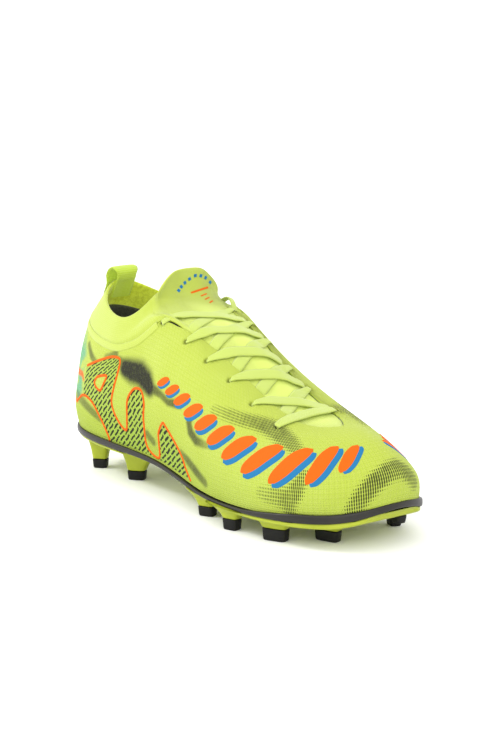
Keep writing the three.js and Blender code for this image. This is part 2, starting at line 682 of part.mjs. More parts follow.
// Rings of a flat ribbon along the lace's route.
function ribbon(route) {
  const curve = new THREE.CatmullRomCurve3(route.map((p) => p.at), false, "centripetal");
  const rings = [];
  const perSpan = 2;
  const total = (route.length - 1) * perSpan;
  let previous = null;
  for (let k = 0; k <= total; k += 1) {
    const here = k / perSpan;
    const i = Math.min(Math.floor(here), route.length - 2);
    const part = here - i;
    const centre = curve.getPoint(k / total);
    const along = curve.getTangent(k / total);
    const normal = route[i].normal.clone().lerp(route[i + 1].normal, part);
    const side = normal.clone().cross(along);
    if (previous && side.length() < 0.35) {
      side.copy(previous);
    }
    side.addScaledVector(along, -side.dot(along)).normalize();
    if (previous && side.dot(previous) < 0) {
      side.negate();
    }
    previous = side.clone();
    const face = along.clone().cross(side).normalize();
    const width = route[i].width + (route[i + 1].width - route[i].width) * part;
    const half = 0.5 * width;
    const thick = 0.5 * LACE_THICKNESS;
    const corner = (a, b) => centre.clone().addScaledVector(side, a * half).addScaledVector(face, b * thick);
    rings.push([corner(-0.8, -1), corner(0.8, -1), corner(1, 0), corner(0.8, 1), corner(-0.8, 1), corner(-1, 0)]);
  }
  return rings;
}

// ------------------------------------------------------------------ assembly
const route = laceRoute();
const laceRings = ribbon(route);
const lace = sweepRings(laceRings);
const slots = route.filter((p) => p.turn).map(eyeletSlot);
const punch = (solid) => slots.reduce((rest, slot) => rest.subtract(slot), solid);
const tipRoughness = 0.9;

addPart("knit_upper", punch(upperPart()), COLOURS.knit);
addPart("ankle_collar", collarPart(), COLOURS.collar);
addPart("tongue", tonguePart(), COLOURS.knit);
addPart("tongue_tab", tabPart(), COLOURS.collar);
addPart("pull_loop_end_outer", strapPart(0, OUTER_END_TOP, 5), COLOURS.loop);
addPart("heel_pull_loop", strapPart(...FREE_LOOP, 18), COLOURS.loop);
addPart("pull_loop_end_inner", strapPart(INNER_END_TOP, LOOP_SPANS, 5), COLOURS.loop);
addPart("lace", lace, COLOURS.lace);
addPart("heel_lining", liningPart(), COLOURS.lining);
addPart("insole_board", boardPart(), COLOURS.board);
addPart("sockliner", socklinerPart(), COLOURS.lining);
addPart("sole_plate", platePart(), COLOURS.plate, 0.5);
addPart("heel_stud_frame", framePart(0.35, 2.35, STUDS.slice(0, 4)), COLOURS.lime, 0.5);
addPart("forefoot_stud_frame", framePart(3.85, 7.75, STUDS.slice(4)), COLOURS.lime, 0.5);
STUDS.forEach((stud) => addPart(`stud_tip_${stud.name}`, tipPart(stud), COLOURS.tip, tipRoughness));

export default group;
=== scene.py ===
"""Looks of the soccer cleat: a sock-fit knit boot on a moulded plate with fixed studs.

Metres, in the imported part's frame: +X to the toe, +Y to the medial side, +Z up.
Lengths written in millimetres are multiplied by MM where they are used.
"""
import math

import bmesh
import bpy
import numpy as np
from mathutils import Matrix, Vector


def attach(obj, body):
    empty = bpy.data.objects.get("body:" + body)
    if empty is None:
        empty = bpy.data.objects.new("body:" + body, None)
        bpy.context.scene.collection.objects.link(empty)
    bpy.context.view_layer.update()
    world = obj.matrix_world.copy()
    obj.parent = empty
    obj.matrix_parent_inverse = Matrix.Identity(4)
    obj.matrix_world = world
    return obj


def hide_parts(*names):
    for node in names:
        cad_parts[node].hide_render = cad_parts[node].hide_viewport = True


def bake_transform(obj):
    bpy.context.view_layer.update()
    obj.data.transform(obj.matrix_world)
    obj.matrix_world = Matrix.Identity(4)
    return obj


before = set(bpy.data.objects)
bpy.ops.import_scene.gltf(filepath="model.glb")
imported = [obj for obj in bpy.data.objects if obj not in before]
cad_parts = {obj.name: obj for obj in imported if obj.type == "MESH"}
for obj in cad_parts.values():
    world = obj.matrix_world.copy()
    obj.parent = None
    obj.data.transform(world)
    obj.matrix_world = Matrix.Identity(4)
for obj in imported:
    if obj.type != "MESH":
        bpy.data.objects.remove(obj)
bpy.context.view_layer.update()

MM = 0.001
RIBS = 16                     # ribs round the last: 0 at the heel centre, 8 at the toe centre
AXIS_Y = 2.5 * MM             # the heel's middle
LAST_SHIFT = np.array((4, 2.5, 2)) * MM

# The last, level by level from the lasting edge to the collar edge. Millimetres.
# A station is (x, lateral y, medial y, z), from the heel centre to the toe or instep centre.
# A fifth number is the height on the lateral side, where the two sides differ.
LEVELS = (
    ((-142.6, 0, 0, 24.4), (-126.3, -24.3, 23.5, 24), (-85, -32.5, 28, 23.1), (-34, -34.5, 25, 21.2),
     (13, -41, 31, 14.5), (58, -45.8, 41, 13.9), (94, -40.5, 38, 15.3), (119.5, -22, 26.5, 17.7),
     (129.2, 3, 3, 22.9)),
    ((-144.6, 0, 0, 40), (-128.3, -26, 25.5, 38), (-86, -34, 30, 37), (-34, -37, 28, 36),
     (14, -43, 34, 31.5), (58, -48, 43, 28.5), (94, -42, 39, 29), (119, -23, 26.5, 32),
     (130.6, 3, 3, 37)),
    ((-142, 0, 0, 55), (-127.3, -25, 25, 53), (-86, -35, 31, 52), (-38, -38, 30, 54),
     (8, -42, 35, 50), (52, -45, 41, 44), (87, -37, 33.8, 43), (110, -19, 20.4, 45),
     (119.6, 3, 3, 48)),
    ((-141.5, 0, 0, 73), (-124, -24, 23, 70), (-82, -35, 31, 67), (-39, -36, 31, 76),
     (0, -37, 32, 73), (36, -37, 31.6, 64), (67, -30, 25.6, 58), (88.5, -16, 15.4, 55.5),
     (96.8, 2, 2, 56.5)),
    ((-136, 0, 0, 91), (-116.5, -23, 22, 86), (-72, -33, 31, 84), (-38, -29, 28, 101),
     (-10, -24, 24, 94), (14, -21, 20.2, 84), (36, -16, 15, 74), (51, -9, 8.2, 67),
     (57, 0, 0, 65)),
    ((-130.2, 0, 0, 98), (-113, -22, 21, 93), (-71, -31.5, 30, 90), (-47, -27, 26, 104),
     (-28, -22, 23, 104), (-14, -18, 18.2, 101), (-4, -13, 14, 98), (3, -7, 7, 96),
     (6, 0, 0, 96)),
    ((-123, 0, 0, 106), (-108, -21, 20, 100), (-70, -30, 29, 96), (-52, -24, 25, 106),
     (-47, -21, 23, 109), (-45, -18, 20, 110), (-43, -13, 15, 111), (-42, -7, 8, 111),
     (-42, 0, 0, 111)),
    ((-118, 0, 0, 115), (-104, -19, 19, 108, 105.2), (-71, -29, 28, 102, 100.6),
     (-55, -22, 24, 110, 113.2), (-51, -20, 24, 114.5, 117.2), (-50, -15.6, 22, 119, 122.6),
     (-49, -10.6, 15.6, 125, 127.6), (-48, -5, 9.4, 128.6, 129.3), (-48, 2, 2, 129.4)),
)
# The plate's outline and the height of the rim's lower edge, then how tall the rim stands.
SOLE = (
    (-144, 0, 0, 21.7), (-128.5, -25, 25, 21.3), (-87, -35, 31, 20.4), (-35, -36.5, 27, 18.5),
    (13, -43, 33, 11.8), (58, -48, 43, 11.2), (95, -43, 40, 12.6), (120.5, -24, 29, 15),
    (130.6, 3, 3, 20.2),
)
RIM_HEIGHT = (3.8, 4.0, 3.9, 2.8, 2.0, 2.3, 4.8, 4.8, 3.4)
# Eyelets and edges on the last, as (rib, level).
LATERAL_EYELETS = ((3.05, 4.0), (3.7, 3.75), (4.3, 3.68), (4.98, 3.62), (5.53, 3.38), (6.03, 3.03))
MEDIAL_EYELETS = ((10.6, 5.45), (10.6, 5.0), (10.45, 4.6), (10.1, 4.2), (9.8, 3.9), (9.4, 3.5))
# Top edge of the knit upper: (position round the shoe, rib, level).
UPPER_TOP = (
    (0, 0, 4.1), (1, 1, 4.08), (1.6, 1.6, 4.06), (2, 2, 3.93), (2.5, 2.5, 3.78), (2.8, 2.8, 3.9),
    (3, 3, 4.1), (3.4, 3.45, 4.04), (4, 4.17, 4.3), (4.6, 4.73, 4.22), (5.3, 5.45, 4.05),
    (6, 6.15, 3.77), (6.7, 6.75, 3.44), (7.3, 7.3, 3.36), (8, 8.05, 3.34), (8.6, 8.95, 3.5),
    (9.2, 9.42, 3.9), (10, 9.45, 4.55), (10.8, 9.65, 4.95), (11.6, 9.85, 5.32),
    (12.3, 10.2, 5.66), (12.8, 11.4, 5.2), (13.2, 12.7, 4.5), (13.5, 13.45, 3.95),
    (14, 14, 3.93), (15, 15, 4.08), (16, 16, 4.1),
)
# Lower edge of the tongue under the throat: (rib, level).
TONGUE_LOW = (
    (3.2, 4.2), (3.6, 4.1), (4.2, 4.05), (4.7, 3.88), (5.4, 3.75), (6.1, 3.55), (6.8, 3.3),
    (7.5, 3.2), (8.3, 3.1), (9.2, 3.2), (9.8, 3.55), (10.3, 3.9), (10.8, 4.3), (11.5, 4.45),
    (12.2, 4.4), (12.8, 4.2),
)
# Lower edge of the sock: above the seam round the heel, under the knit round the throat.
SOCK_LOW = (
    (0, 4.15), (1, 4.13), (1.6, 4.11), (2, 3.98), (2.5, 3.83), (2.8, 3.95), (3, 4.15),
) + TONGUE_LOW + ((13.2, 4.02), (13.5, 4.0), (14, 3.98), (15, 4.13), (16, 4.15))
COLLAR_EDGE = 7


# ------------------------------------------------------------------ spline last
def closed_stations(stations):
    """A level's points all the way round the last, in metres."""
    lateral = [(station[0], station[1], station[-1]) for station in stations]
    medial = [(station[0], station[2], station[3]) for station in stations[7:0:-1]]
    return np.array(lateral + medial, float) * MM + LAST_SHIFT


def control_points(rows):
    """Control points whose spline passes through rows, by repeated correction."""
    control = rows.copy()
    for _ in range(12):
        smooth = (4 * control + np.roll(control, 1, axis=1) + np.roll(control, -1, axis=1)) / 6
        if len(rows) > 1:
            inner = (4 * smooth[1:-1] + smooth[:-2] + smooth[2:]) / 6
            smooth[1:-1] = inner
        control = control + rows - smooth
    return control


def with_ends(points):
    """The points with one more at each end, in line with the two nearest to it."""
    return np.concatenate([2 * points[:1] - points[1:2], points, 2 * points[-1:] - points[-2:-1]])


LAST = with_ends(control_points(np.array([closed_stations(level) for level in LEVELS])))
SOLE_CONTROL = control_points(closed_stations(SOLE)[None])[0]


def weights(t):
    """Shares of the four control points round a place t, from 0 to 1, between the middle two."""
    return np.stack([
        (1 - t) ** 3 / 6,
        (3 * t ** 3 - 6 * t ** 2 + 4) / 6,
        (-3 * t ** 3 + 3 * t ** 2 + 3 * t + 1) / 6,
        t ** 3 / 6,
    ], axis=-1)


def surface(u, v):
    """Points of the last at ribs u and levels v, which are arrays of one shape."""
    u, v = np.broadcast_arrays(np.asarray(u, float), np.asarray(v, float))
    rib = np.floor(u).astype(int)
    level = np.clip(np.floor(v).astype(int), 0, len(LEVELS) - 2)
    along = weights(u - rib)
    up = weights(v - level)
    points = 0
    for a in range(4):
        for b in range(4):
            share = (up[..., a] * along[..., b])[..., None]
            points = points + share * LAST[level + a, (rib - 1 + b) % RIBS]
    return points


def tangents(u, v):
    """How the last runs round the shoe and up it, for each rib and each level."""
    step = 0.02
    u, v = np.asarray(u, float), np.asarray(v, float)
    along = (surface(u + step, v) - surface(u - step, v)) / (2 * step)
    up = (surface(u, v + step) - surface(u, v - step)) / (2 * step)
    return along, up


def unit(vectors):
    return vectors / np.maximum(np.linalg.norm(vectors, axis=-1, keepdims=True), 1e-12)


def outward(u, v):
    along, up = tangents(u, v)
    return unit(np.cross(along, up))


def last_point(u, v, offset):
    """A point of the last moved outwards by offset metres."""
    return surface(u, v) + outward(u, v) * np.asarray(offset, float)[..., None]


def settle(targets, u, v):
    """The (rib, level) of the place on the last nearest to each target."""
    u, v = np.array(u, float), np.array(v, float)
    for _ in range(14):
        along, up = tangents(u, v)
        miss = targets - surface(u, v)
        a = (along * along).sum(-1)
        b = (along * up).sum(-1)
        c = (up * up).sum(-1)
        e = (miss * along).sum(-1)
        f = (miss * up).sum(-1)
        det = a * c - b * b
        u = u + np.clip((e * c - b * f) / det, -0.5, 0.5)
        v = np.clip(v + np.clip((a * f - b * e) / det, -0.4, 0.4), -0.05, 7.05)
    return u, v


def read(table, at):
    """Straight-line reading of rows (position, value, ...) at positions at."""
    rows = np.array(table, float)
    return [np.interp(at, rows[:, 0], rows[:, k]) for k in range(1, rows.shape[1])]


def smoothstep(x, low, high):
    t = np.clip((np.asarray(x, float) - low) / (high - low), 0, 1)
    return t * t * (3 - 2 * t)


def sole_point(u):
    """Points of the rim's lower edge at ribs u."""
    u = np.asarray(u, float)
    rib = np.floor(u).astype(int)
    w = weights(u - rib)
    return sum(w[..., b, None] * SOLE_CONTROL[(rib - 1 + b) % RIBS] for b in range(4))


def sole_edge(u, inset, rise):
    """A point of the plate's outline moved inwards in plan and up, in metres."""
    step = 0.02
    u = np.asarray(u, float)
    along = sole_point(u + step) - sole_point(u - step)
    along[..., 2] = 0
    along = unit(along)
    inwards = np.stack([-along[..., 1], along[..., 0], np.zeros_like(u)], axis=-1)
    lift = np.stack([np.zeros_like(u), np.zeros_like(u), np.ones_like(u) * rise], axis=-1)
    return sole_point(u) + inwards * inset + lift


def rim_height(u):
    station = np.where(u <= 8, u, RIBS - u)
    return np.interp(station, range(9), RIM_HEIGHT) * MM


def sole_height(x):
    """Height of the rim's lower edge at x."""
    stations = np.array(SOLE, float)
    return np.interp(x, stations[:, 0] * MM + LAST_SHIFT[0], stations[:, 3] * MM + LAST_SHIFT[2])


# ------------------------------------------------------------------ mesh helpers
SAMPLES_PER_SPAN = 24         # places read between two points of a drawn line


def linked(name, data):
    """A new object in the scene."""
    item = bpy.data.objects.new(name, data)
    bpy.context.scene.collection.objects.link(item)
    return item


def new_object(name, vertices, faces, material, uv=None, marks=None):
    """A smooth-shaded mesh object. uv holds one pair for each corner of each face."""
    mesh = bpy.data.meshes.new(name)
    mesh.from_pydata(np.asarray(vertices).reshape(-1, 3).tolist(), [], np.asarray(faces).tolist())
    if uv is not None:
        layer = mesh.uv_layers.new(name="cloth")
        layer.data.foreach_set("uv", np.asarray(uv, np.float32).ravel())
    for key, values in (marks or {}).items():
        attribute = mesh.attributes.new(key, "FLOAT", "POINT")
        attribute.data.foreach_set("value", np.asarray(values, np.float32).ravel())
    mesh.shade_smooth()
    mesh.update()
    for item in material if isinstance(material, list) else [material]:
        mesh.materials.append(item)
    return linked(name, mesh)


def grid_faces(rows, columns, close_rows=False, close_columns=False):
    """Quads of a grid of points numbered row by row."""
    r = np.arange(rows if close_rows else rows - 1)
    c = np.arange(columns if close_columns else columns - 1)
    r, c = np.meshgrid(r, c, indexing="ij")
    r2 = (r + 1) % rows
    c2 = (c + 1) % columns
    quads = np.stack([r * columns + c, r * columns + c2, r2 * columns + c2, r2 * columns + c], axis=-1)
    return quads.reshape(-1, 4)


def arc_uv(points, close_columns=False):
    """Real lengths along and up a grid of points, as a uv pair for each corner of its quads."""
    grid = np.concatenate([points, points[:, :1]], axis=1) if close_columns else points
    along = np.linalg.norm(np.diff(grid, axis=1), axis=-1).mean(axis=0)
    along = np.concatenate([[0], np.cumsum(along)])
    up = np.linalg.norm(np.diff(grid, axis=0), axis=-1)
    up = np.concatenate([np.zeros((1, grid.shape[1])), np.cumsum(up, axis=0)])
    pair = np.stack([np.broadcast_to(along, up.shape), up], axis=-1)
    corners = [pair[:-1, :-1], pair[:-1, 1:], pair[1:, 1:], pair[1:, :-1]]
    return np.stack(corners, axis=2).reshape(-1, 2)


def grid_object(name, points, material, close_rows=False, close_columns=False, marks=None):
    rows, columns = points.shape[:2]
    faces = grid_faces(rows, columns, close_rows, close_columns)
    drawn = np.concatenate([points, points[:1]]) if close_rows else points
    return new_object(name, points, faces, material, arc_uv(drawn, close_columns), marks)


def edge_profile(rows, thickness, rounded=5):
    """(share up the sheet, depth, lift past the edge) down the outer face, round, and up inside."""
    profile = [(k / rows, 0, 0) for k in range(rows + 1)]
    for k in range(1, rounded):
        angle = math.pi * k / rounded
        profile.append((1, 0.5 * thickness * (1 - math.cos(angle)), 0.5 * thickness * math.sin(angle)))
    inner = max(rows // 3, 3)
    profile += [(1 - k / inner, thickness, 0) for k in range(inner + 1)]
    return profile


def sheet_on_last(name, place, thickness, columns, start, stop, rows, material,
                  skin=None, closed=False, marks=None, inner_slot=0):
    """A sheet of even thickness on the last. Its round upper edge ends at share 1."""
    t = np.linspace(start, stop, columns + (not closed), endpoint=not closed)
    points, spots = [], []
    for share, depth, lift in edge_profile(rows, thickness):
        u, v = place(t, np.full_like(t, share))
        offset = skin(u, v) if skin else np.zeros_like(t)
        low_u, low_v = place(t, np.full_like(t, share - 0.02))
        rising = unit(surface(u, v) - surface(low_u, low_v))
        sink = 0.5 * thickness * smoothstep(share, 0.88, 1.0)
        points.append(last_point(u, v, offset - depth) + rising * (lift - sink))
        spots.append(np.stack([u, v], axis=-1))
    points = np.array(points)
    made = marks(points, np.array(spots)) if marks else None
    piece = grid_object(name, points, material, close_columns=closed, marks=made)
    if inner_slot:
        outer_strips = rows + 2       # the outer face and half of the round edge
        index = np.zeros(len(piece.data.polygons), np.int32)
        index[outer_strips * columns:] = inner_slot
        piece.data.polygons.foreach_set("material_index", index)
    return piece


def smooth_curve(points, count):
    """Points of a Catmull-Rom curve through points."""
    points = np.array(points, float)
    at = np.linspace(0, len(points) - 1, count)
    k = np.minimum(at.astype(int), len(points) - 2)
    t = (at - k)[:, None]
    a, b, c, d = (with_ends(points)[k + step] for step in range(4))
    return 0.5 * (2 * b + (c - a) * t + (2 * a - 5 * b + 4 * c - d) * t ** 2
                  + (3 * b - a - 3 * c + d) * t ** 3)


def run_along(spots):
    """Length along a line of (rib, level) spots, up to each of them."""
    places = surface(spots[:, 0], spots[:, 1])
    return np.concatenate([[0], np.cumsum(np.linalg.norm(np.diff(places, axis=0), axis=1))])


def path_points(spots, spacing):
    """(rib, level) points a set distance apart along a smooth line through spots."""
    return even_points(smooth_curve(spots, SAMPLES_PER_SPAN * (len(spots) - 1) + 1), spacing)


def even_points(dense, spacing):
    """(rib, level) points a set distance apart along a line of closer ones."""
    length = run_along(dense)
    count = max(int(length[-1] / spacing), 3)
    at = np.linspace(0, length[-1], count + 1)
    return np.stack([np.interp(at, length, dense[:, 0]), np.interp(at, length, dense[:, 1])], axis=-1)


def band_on_last(name, spots, width, height, material, base=0.0, across=6):
    """A raised band with a rounded face that follows spots on the last. Widths in metres."""
    u, v = spots[:, 0], spots[:, 1]
    centre = surface(u, v)
    side = unit(np.cross(outward(u, v), unit(np.gradient(centre, axis=0))))
    shares = [2 * k / across - 1 for k in range(across + 1)]
    profile = [(-1, -height)] + [(s, height * (1 - abs(s) ** 4)) for s in shares] + [(1, -height)]
    rows = []
    for s, rise in profile:
        spot = settle(centre + side * (0.5 * width * s), u, v)
        rows.append(last_point(*spot, base + rise))
    return grid_object(name, np.array(rows), material, close_rows=True)


def joined(name, pieces):
    """One mesh object in the place of several."""
    made = bmesh.new()
    for piece in pieces:
        made.from_mesh(piece.data)
        bpy.data.objects.remove(piece)
    mesh = bpy.data.meshes.new(name)
    made.to_mesh(mesh)
    made.free()
    return linked(name, mesh)


# ------------------------------------------------------------------ materials
class Shader:
    """Small helper round one node tree with a Principled shader."""

    def __init__(self, name, roughness, specular, sheen=0.0):
        self.material = bpy.data.materials.new(name)
        self.material.use_nodes = True
        self.tree = self.material.node_tree
        self.surface = self.tree.nodes["Principled BSDF"]
        self.surface.inputs["Roughness"].default_value = roughness
        self.surface.inputs["Sheen Weight"].default_value = sheen
        self.surface.inputs["Specular IOR Level"].default_value = specular

    def feed(self, socket, value):
        if isinstance(value, bpy.types.NodeSocket):
            self.tree.links.new(value, socket)
        else:
            socket.default_value = value

    def add(self, kind, out=0, **inputs):
        node = self.tree.nodes.new(kind)
        for key, value in inputs.items():
            self.feed(node.inputs[key], value)
        return node.outputs[out]

    def math(self, operation, a, b=0.0, clamp=False):
        node = self.tree.nodes.new("ShaderNodeMath")
        node.operation = operation
        node.use_clamp = clamp
        self.feed(node.inputs[0], a)
        self.feed(node.inputs[1], b)
        return node.outputs[0]

    def times(self, a, b, clamp=False):
        return self.math("MULTIPLY", a, b, clamp)

    def plus(self, a, b):
        return self.math("ADD", a, b)

    def minus(self, a, b):
        return self.math("SUBTRACT", a, b)

    def ramp(self, value, low, high):
        """0 below low, 1 above high."""
        node = self.tree.nodes.new("ShaderNodeMapRange")
        node.interpolation_type = "SMOOTHSTEP"
        self.feed(node.inputs["Value"], value)
        self.feed(node.inputs["From Min"], low)
        self.feed(node.inputs["From Max"], high)
        return node.outputs[0]

    def mix(self, share, a, b):
        node = self.tree.nodes.new("ShaderNodeMix")
        node.data_type = "RGBA"
        self.feed(node.inputs[0], share)
        self.feed(node.inputs[6], a)
        self.feed(node.inputs[7], b)
        return node.outputs[2]

    def cloth(self):
        """Lengths along and up the cloth, in metres."""
        node = self.tree.nodes.new("ShaderNodeUVMap")
        node.uv_map = "cloth"
        split = self.tree.nodes.new("ShaderNodeSeparateXYZ")
        self.feed(split.inputs[0], node.outputs[0])
        return split.outputs[0], split.outputs[1]

    def noise(self, scale, detail, roughness=0.6):
        place = self.add("ShaderNodeTexCoord", out=3)
        return self.add("ShaderNodeTexNoise", Vector=place, Scale=scale, Detail=detail, Roughness=roughness)

    def wave(self, length, pitch, shift=0.0):
        """0 to 1 and back once each pitch metres."""
        turn = self.plus(self.times(length, 2 * math.pi / pitch), shift)
        return self.plus(self.times(self.math("SINE", turn), 0.5), 0.5)

    def mark(self, name):
        """A share from 0 to 1 that the mesh holds at each point."""
        node = self.tree.nodes.new("ShaderNodeAttribute")
        node.attribute_name = name
        return node.outputs["Fac"]

    def bump(self, height, distance, strength=1.0):
        return self.add("ShaderNodeBump", Height=height, Distance=distance, Strength=strength)

    def painted_glow(self, colour, strength):
        """Painted light: the cloth glows by itself in the given colour, to lighten its shade."""
        self.feed(self.surface.inputs["Emission Color"], colour)
        self.feed(self.surface.inputs["Emission Strength"], strength)

    def finish(self, colour, normal, roughness=None):
        self.feed(self.surface.inputs["Base Color"], colour)
        self.feed(self.surface.inputs["Normal"], normal)
        if roughness is not None:
            self.feed(self.surface.inputs["Roughness"], roughness)
        return self.material


# The studio is brighter than white, so that its floor is clean, and colours are darker to match.
STUDIO_STRENGTH = 1.42
SHOE_TONE = 0.70


def rgb(red, green, blue):
    """An sRGB colour given as 0 to 255, as the shader's linear colour under the studio light."""
    def linear(value):
        share = value / 255
        return share / 12.92 if share <= 0.04045 else ((share + 0.055) / 1.055) ** 2.4
    return (*(SHOE_TONE * linear(value) for value in (red, green, blue)), 1.0)


LIME = rgb(202, 217, 92)
LIME_LIGHT = rgb(207, 222, 106)
LIME_DEEP = rgb(176, 200, 36)
LIME_INSIDE = rgb(200, 214, 60)
INK = rgb(42, 44, 26)
MINT = rgb(122, 190, 140)
ORANGE = rgb(246, 108, 8)
BLUE = rgb(40, 128, 182)
# Colour of the painted glow on the sock and the lace.
PAINTED_GLOW_COLOUR = rgb(206, 230, 40)
# How strongly each cloth glows by itself: painted light that lightens its shade.
LINING_GLOW = 0.7
STRAP_GLOW = 0.38
LACE_GLOW = 0.05
SOCK_GLOW = 0.03
TONGUE_GLOW = 0.16            # more, where the tongue shows between the lace rows
# Pitch of the printed dashes, round the shoe and up it.
HALFTONE_PITCH = 1.15 * MM
HALFTONE_RUN = 2.0 * MM
# The heel pattern's dashes: from line to line, along one, then cosine and sine of their slope.
HATCH_PITCH = 2.6 * MM
HATCH_RUN = 7.6 * MM
HATCH_SLOPE = (0.70, 0.71)
STRAP_PITCH = 1.1 * MM        # from rib to rib of the webbing


def knit_weave(shader, pitch, strength):
    """Colour and height of a fine knit: wales up the shoe, courses round it."""
    along, up = shader.cloth()
    fuzz = shader.noise(900, 2)
    wobble = shader.times(shader.noise(260, 2), 1.6)
    wales = shader.wave(along, pitch, wobble)
    courses = shader.wave(up, pitch * 0.85, wobble)
    stitch = shader.times(wales, courses)
    cells = shader.times(shader.wave(along, pitch * 1.9), shader.wave(up, pitch * 1.9))
    height = shader.plus(stitch, shader.times(cells, 0.35))
    height = shader.plus(height, shader.times(fuzz, 0.5))
    return along, up, stitch, cells, shader.bump(height, strength * MM, 0.9)


def sprayed(shader, colour):
    """Soft black smudges with a little of the weave showing through."""
    grain = shader.times(shader.ramp(shader.noise(700, 2), 0.3, 0.7), 0.14)
    spray = shader.times(shader.mark("smudge"), shader.minus(1.08, grain), True)
    return shader.mix(spray, colour, INK)


def halftoned(shader, colour, along, up):
    """Upright dashes that grow and run together where the tone is darkest."""
    tone = shader.mark("halftone")
    ragged = shader.times(shader.minus(shader.noise(170, 3), 0.5), 0.5)
    tone = shader.times(tone, shader.plus(1.0, ragged))
    columns = shader.wave(along, HALFTONE_PITCH)
    dots = shader.times(columns, shader.wave(up, HALFTONE_RUN))
    dots = shader.plus(shader.times(dots, 0.6), shader.times(columns, 0.3))
    ink = shader.minus(shader.plus(dots, shader.times(tone, 0.75)), 0.80)
    ink = shader.times(shader.ramp(ink, 0.0, 0.22), shader.ramp(tone, 0.05, 0.3))
    return shader.mix(shader.times(ink, 0.9), colour, INK)


def hatched(shader, colour, along, up):
    """Slanting dashes with wavy edges inside the heel pattern."""
    sway = shader.times(shader.minus(shader.noise(190, 2), 0.5), 2.2 * MM)
    low, high = HATCH_SLOPE
    slant = shader.plus(shader.minus(shader.times(along, low), shader.times(up, high)), sway)
    run = shader.plus(shader.times(along, high), shader.times(up, low))
    line_number = shader.math("FLOOR", shader.math("DIVIDE", slant, HATCH_PITCH))
    broken = shader.wave(run, HATCH_RUN, shader.times(line_number, 2.4))
    middle = shader.wave(slant, HATCH_PITCH, -math.pi / 2)
    line = shader.times(shader.ramp(middle, 0.42, 0.72), shader.ramp(broken, 0.02, 0.12))
    inside = shader.ramp(shader.mark("hatch"), 0.4, 0.6)
    colour = shader.mix(shader.times(inside, 0.6), colour, rgb(160, 196, 66))
    return shader.mix(shader.times(line, inside), colour, rgb(30, 40, 4))


def knit_material():
    shader = Shader("knit_lime", roughness=0.88, sheen=0.08, specular=0.15)
    along, up, stitch, cells, normal = knit_weave(shader, 1.5 * MM, 0.26)
    broad = shader.noise(22, 3)
    colour = shader.mix(shader.ramp(broad, 0.35, 0.7), LIME, LIME_LIGHT)
    colour = shader.mix(shader.times(shader.ramp(stitch, 0.45, 0.0), 0.22), colour, LIME_DEEP)
    colour = shader.mix(shader.times(shader.ramp(cells, 0.25, 0.0), 0.22), colour, LIME_DEEP)
    low_side = shader.times(shader.mark("shade"), 0.6)
    colour = shader.mix(low_side, colour, rgb(164, 188, 48))
    mint = shader.times(shader.mark("mint"), shader.ramp(shader.noise(140, 4), 0.3, 0.55))
    colour = shader.mix(mint, colour, MINT)
    colour = sprayed(shader, colour)
    colour = halftoned(shader, colour, along, up)
    colour = hatched(shader, colour, along, up)
    colour = shader.mix(shader.mark("glow"), colour, ORANGE)
    # painted shade: the eyelet pits darkened to dark olive
    colour = shader.mix(shader.mark("hole"), colour, rgb(70, 74, 4))
    rough = shader.minus(0.9, shader.times(broad, 0.1))
    return shader.finish(colour, normal, rough)


def sock_material():
    shader = Shader("sock_knit", roughness=0.86, sheen=0.25, specular=0.25)
    _, _, stitch, _, normal = knit_weave(shader, 1.3 * MM, 0.14)
    colour = shader.mix(shader.ramp(shader.noise(30, 3), 0.35, 0.7), LIME_LIGHT, LIME)
    colour = shader.mix(shader.times(shader.ramp(stitch, 0.5, 0.0), 0.35), colour, LIME_DEEP)
    # painted light: the sock glows a little all over, and the tongue between the lace rows is lightened and
    # glows more, lifting the laces' shade
    colour = shader.mix(shader.times(shader.mark("pale"), 0.7), colour, rgb(226, 242, 122))
    shader.painted_glow(PAINTED_GLOW_COLOUR, shader.plus(SOCK_GLOW, shader.times(shader.mark("pale"), TONGUE_GLOW)))
    return shader.finish(colour, normal)


def fuzzy_material(name, base, deep, glow=0.0):
    """Brushed lining with short nap."""
    shader = Shader(name, roughness=0.95, sheen=0.5, specular=0.15)
    nap = shader.noise(420, 6, roughness=0.75)
    patches = shader.noise(90, 4)
    colour = shader.mix(shader.ramp(nap, 0.35, 0.65), deep, base)
    colour = shader.mix(shader.times(shader.ramp(patches, 0.45, 0.65), 0.5), colour, deep)
    # painted light: with glow, the lining glows in its own colour, lifting the shade inside the collar
    if glow:
        shader.painted_glow(colour, glow)
    return shader.finish(colour, shader.bump(nap, 0.5 * MM))


def webbing_material():
    shader = Shader("webbing_lime", roughness=0.7, sheen=0.2, specular=0.3)
    along, up = shader.cloth()
    rib_number = shader.math("FLOOR", shader.math("DIVIDE", along, STRAP_PITCH))
    pick = shader.wave(up, 0.9 * MM, shader.times(rib_number, math.pi))
    weave = shader.times(shader.wave(along, STRAP_PITCH), pick)
    colour = shader.mix(shader.ramp(weave, 0.0, 0.5), rgb(180, 206, 50), rgb(196, 218, 78))
    # painted light: the strap glows in its own colour, lifting its shade
    shader.painted_glow(colour, STRAP_GLOW)
    return shader.finish(colour, shader.bump(weave, 0.16 * MM))


def lace_material():
    shader = Shader("lace_lime", roughness=0.75, sheen=0.3, specular=0.3)
    along, up = shader.cloth()
    braid_a = shader.wave(shader.plus(along, up), 1.3 * MM)
    braid_b = shader.wave(shader.minus(along, up), 1.3 * MM)
    braid = shader.math("MAXIMUM", braid_a, braid_b)
    colour = shader.mix(shader.ramp(braid, 0.3, 0.9), rgb(192, 212, 76), rgb(206, 224, 112))
    # painted light: the lace glows a little, lifting the shade between the strands
    shader.painted_glow(PAINTED_GLOW_COLOUR, LACE_GLOW)
    return shader.finish(colour, shader.bump(braid, 0.14 * MM))


def print_material(name, base, deep):
    """Printed film: thin flexible ink that lets the knit grain through."""
    shader = Shader(name, roughness=0.7, specular=0.15)
    grain = shader.noise(650, 3)
    colour = shader.mix(shader.times(shader.ramp(grain, 0.45, 0.8), 0.45), base, deep)
    return shader.finish(colour, shader.bump(grain, 0.12 * MM))


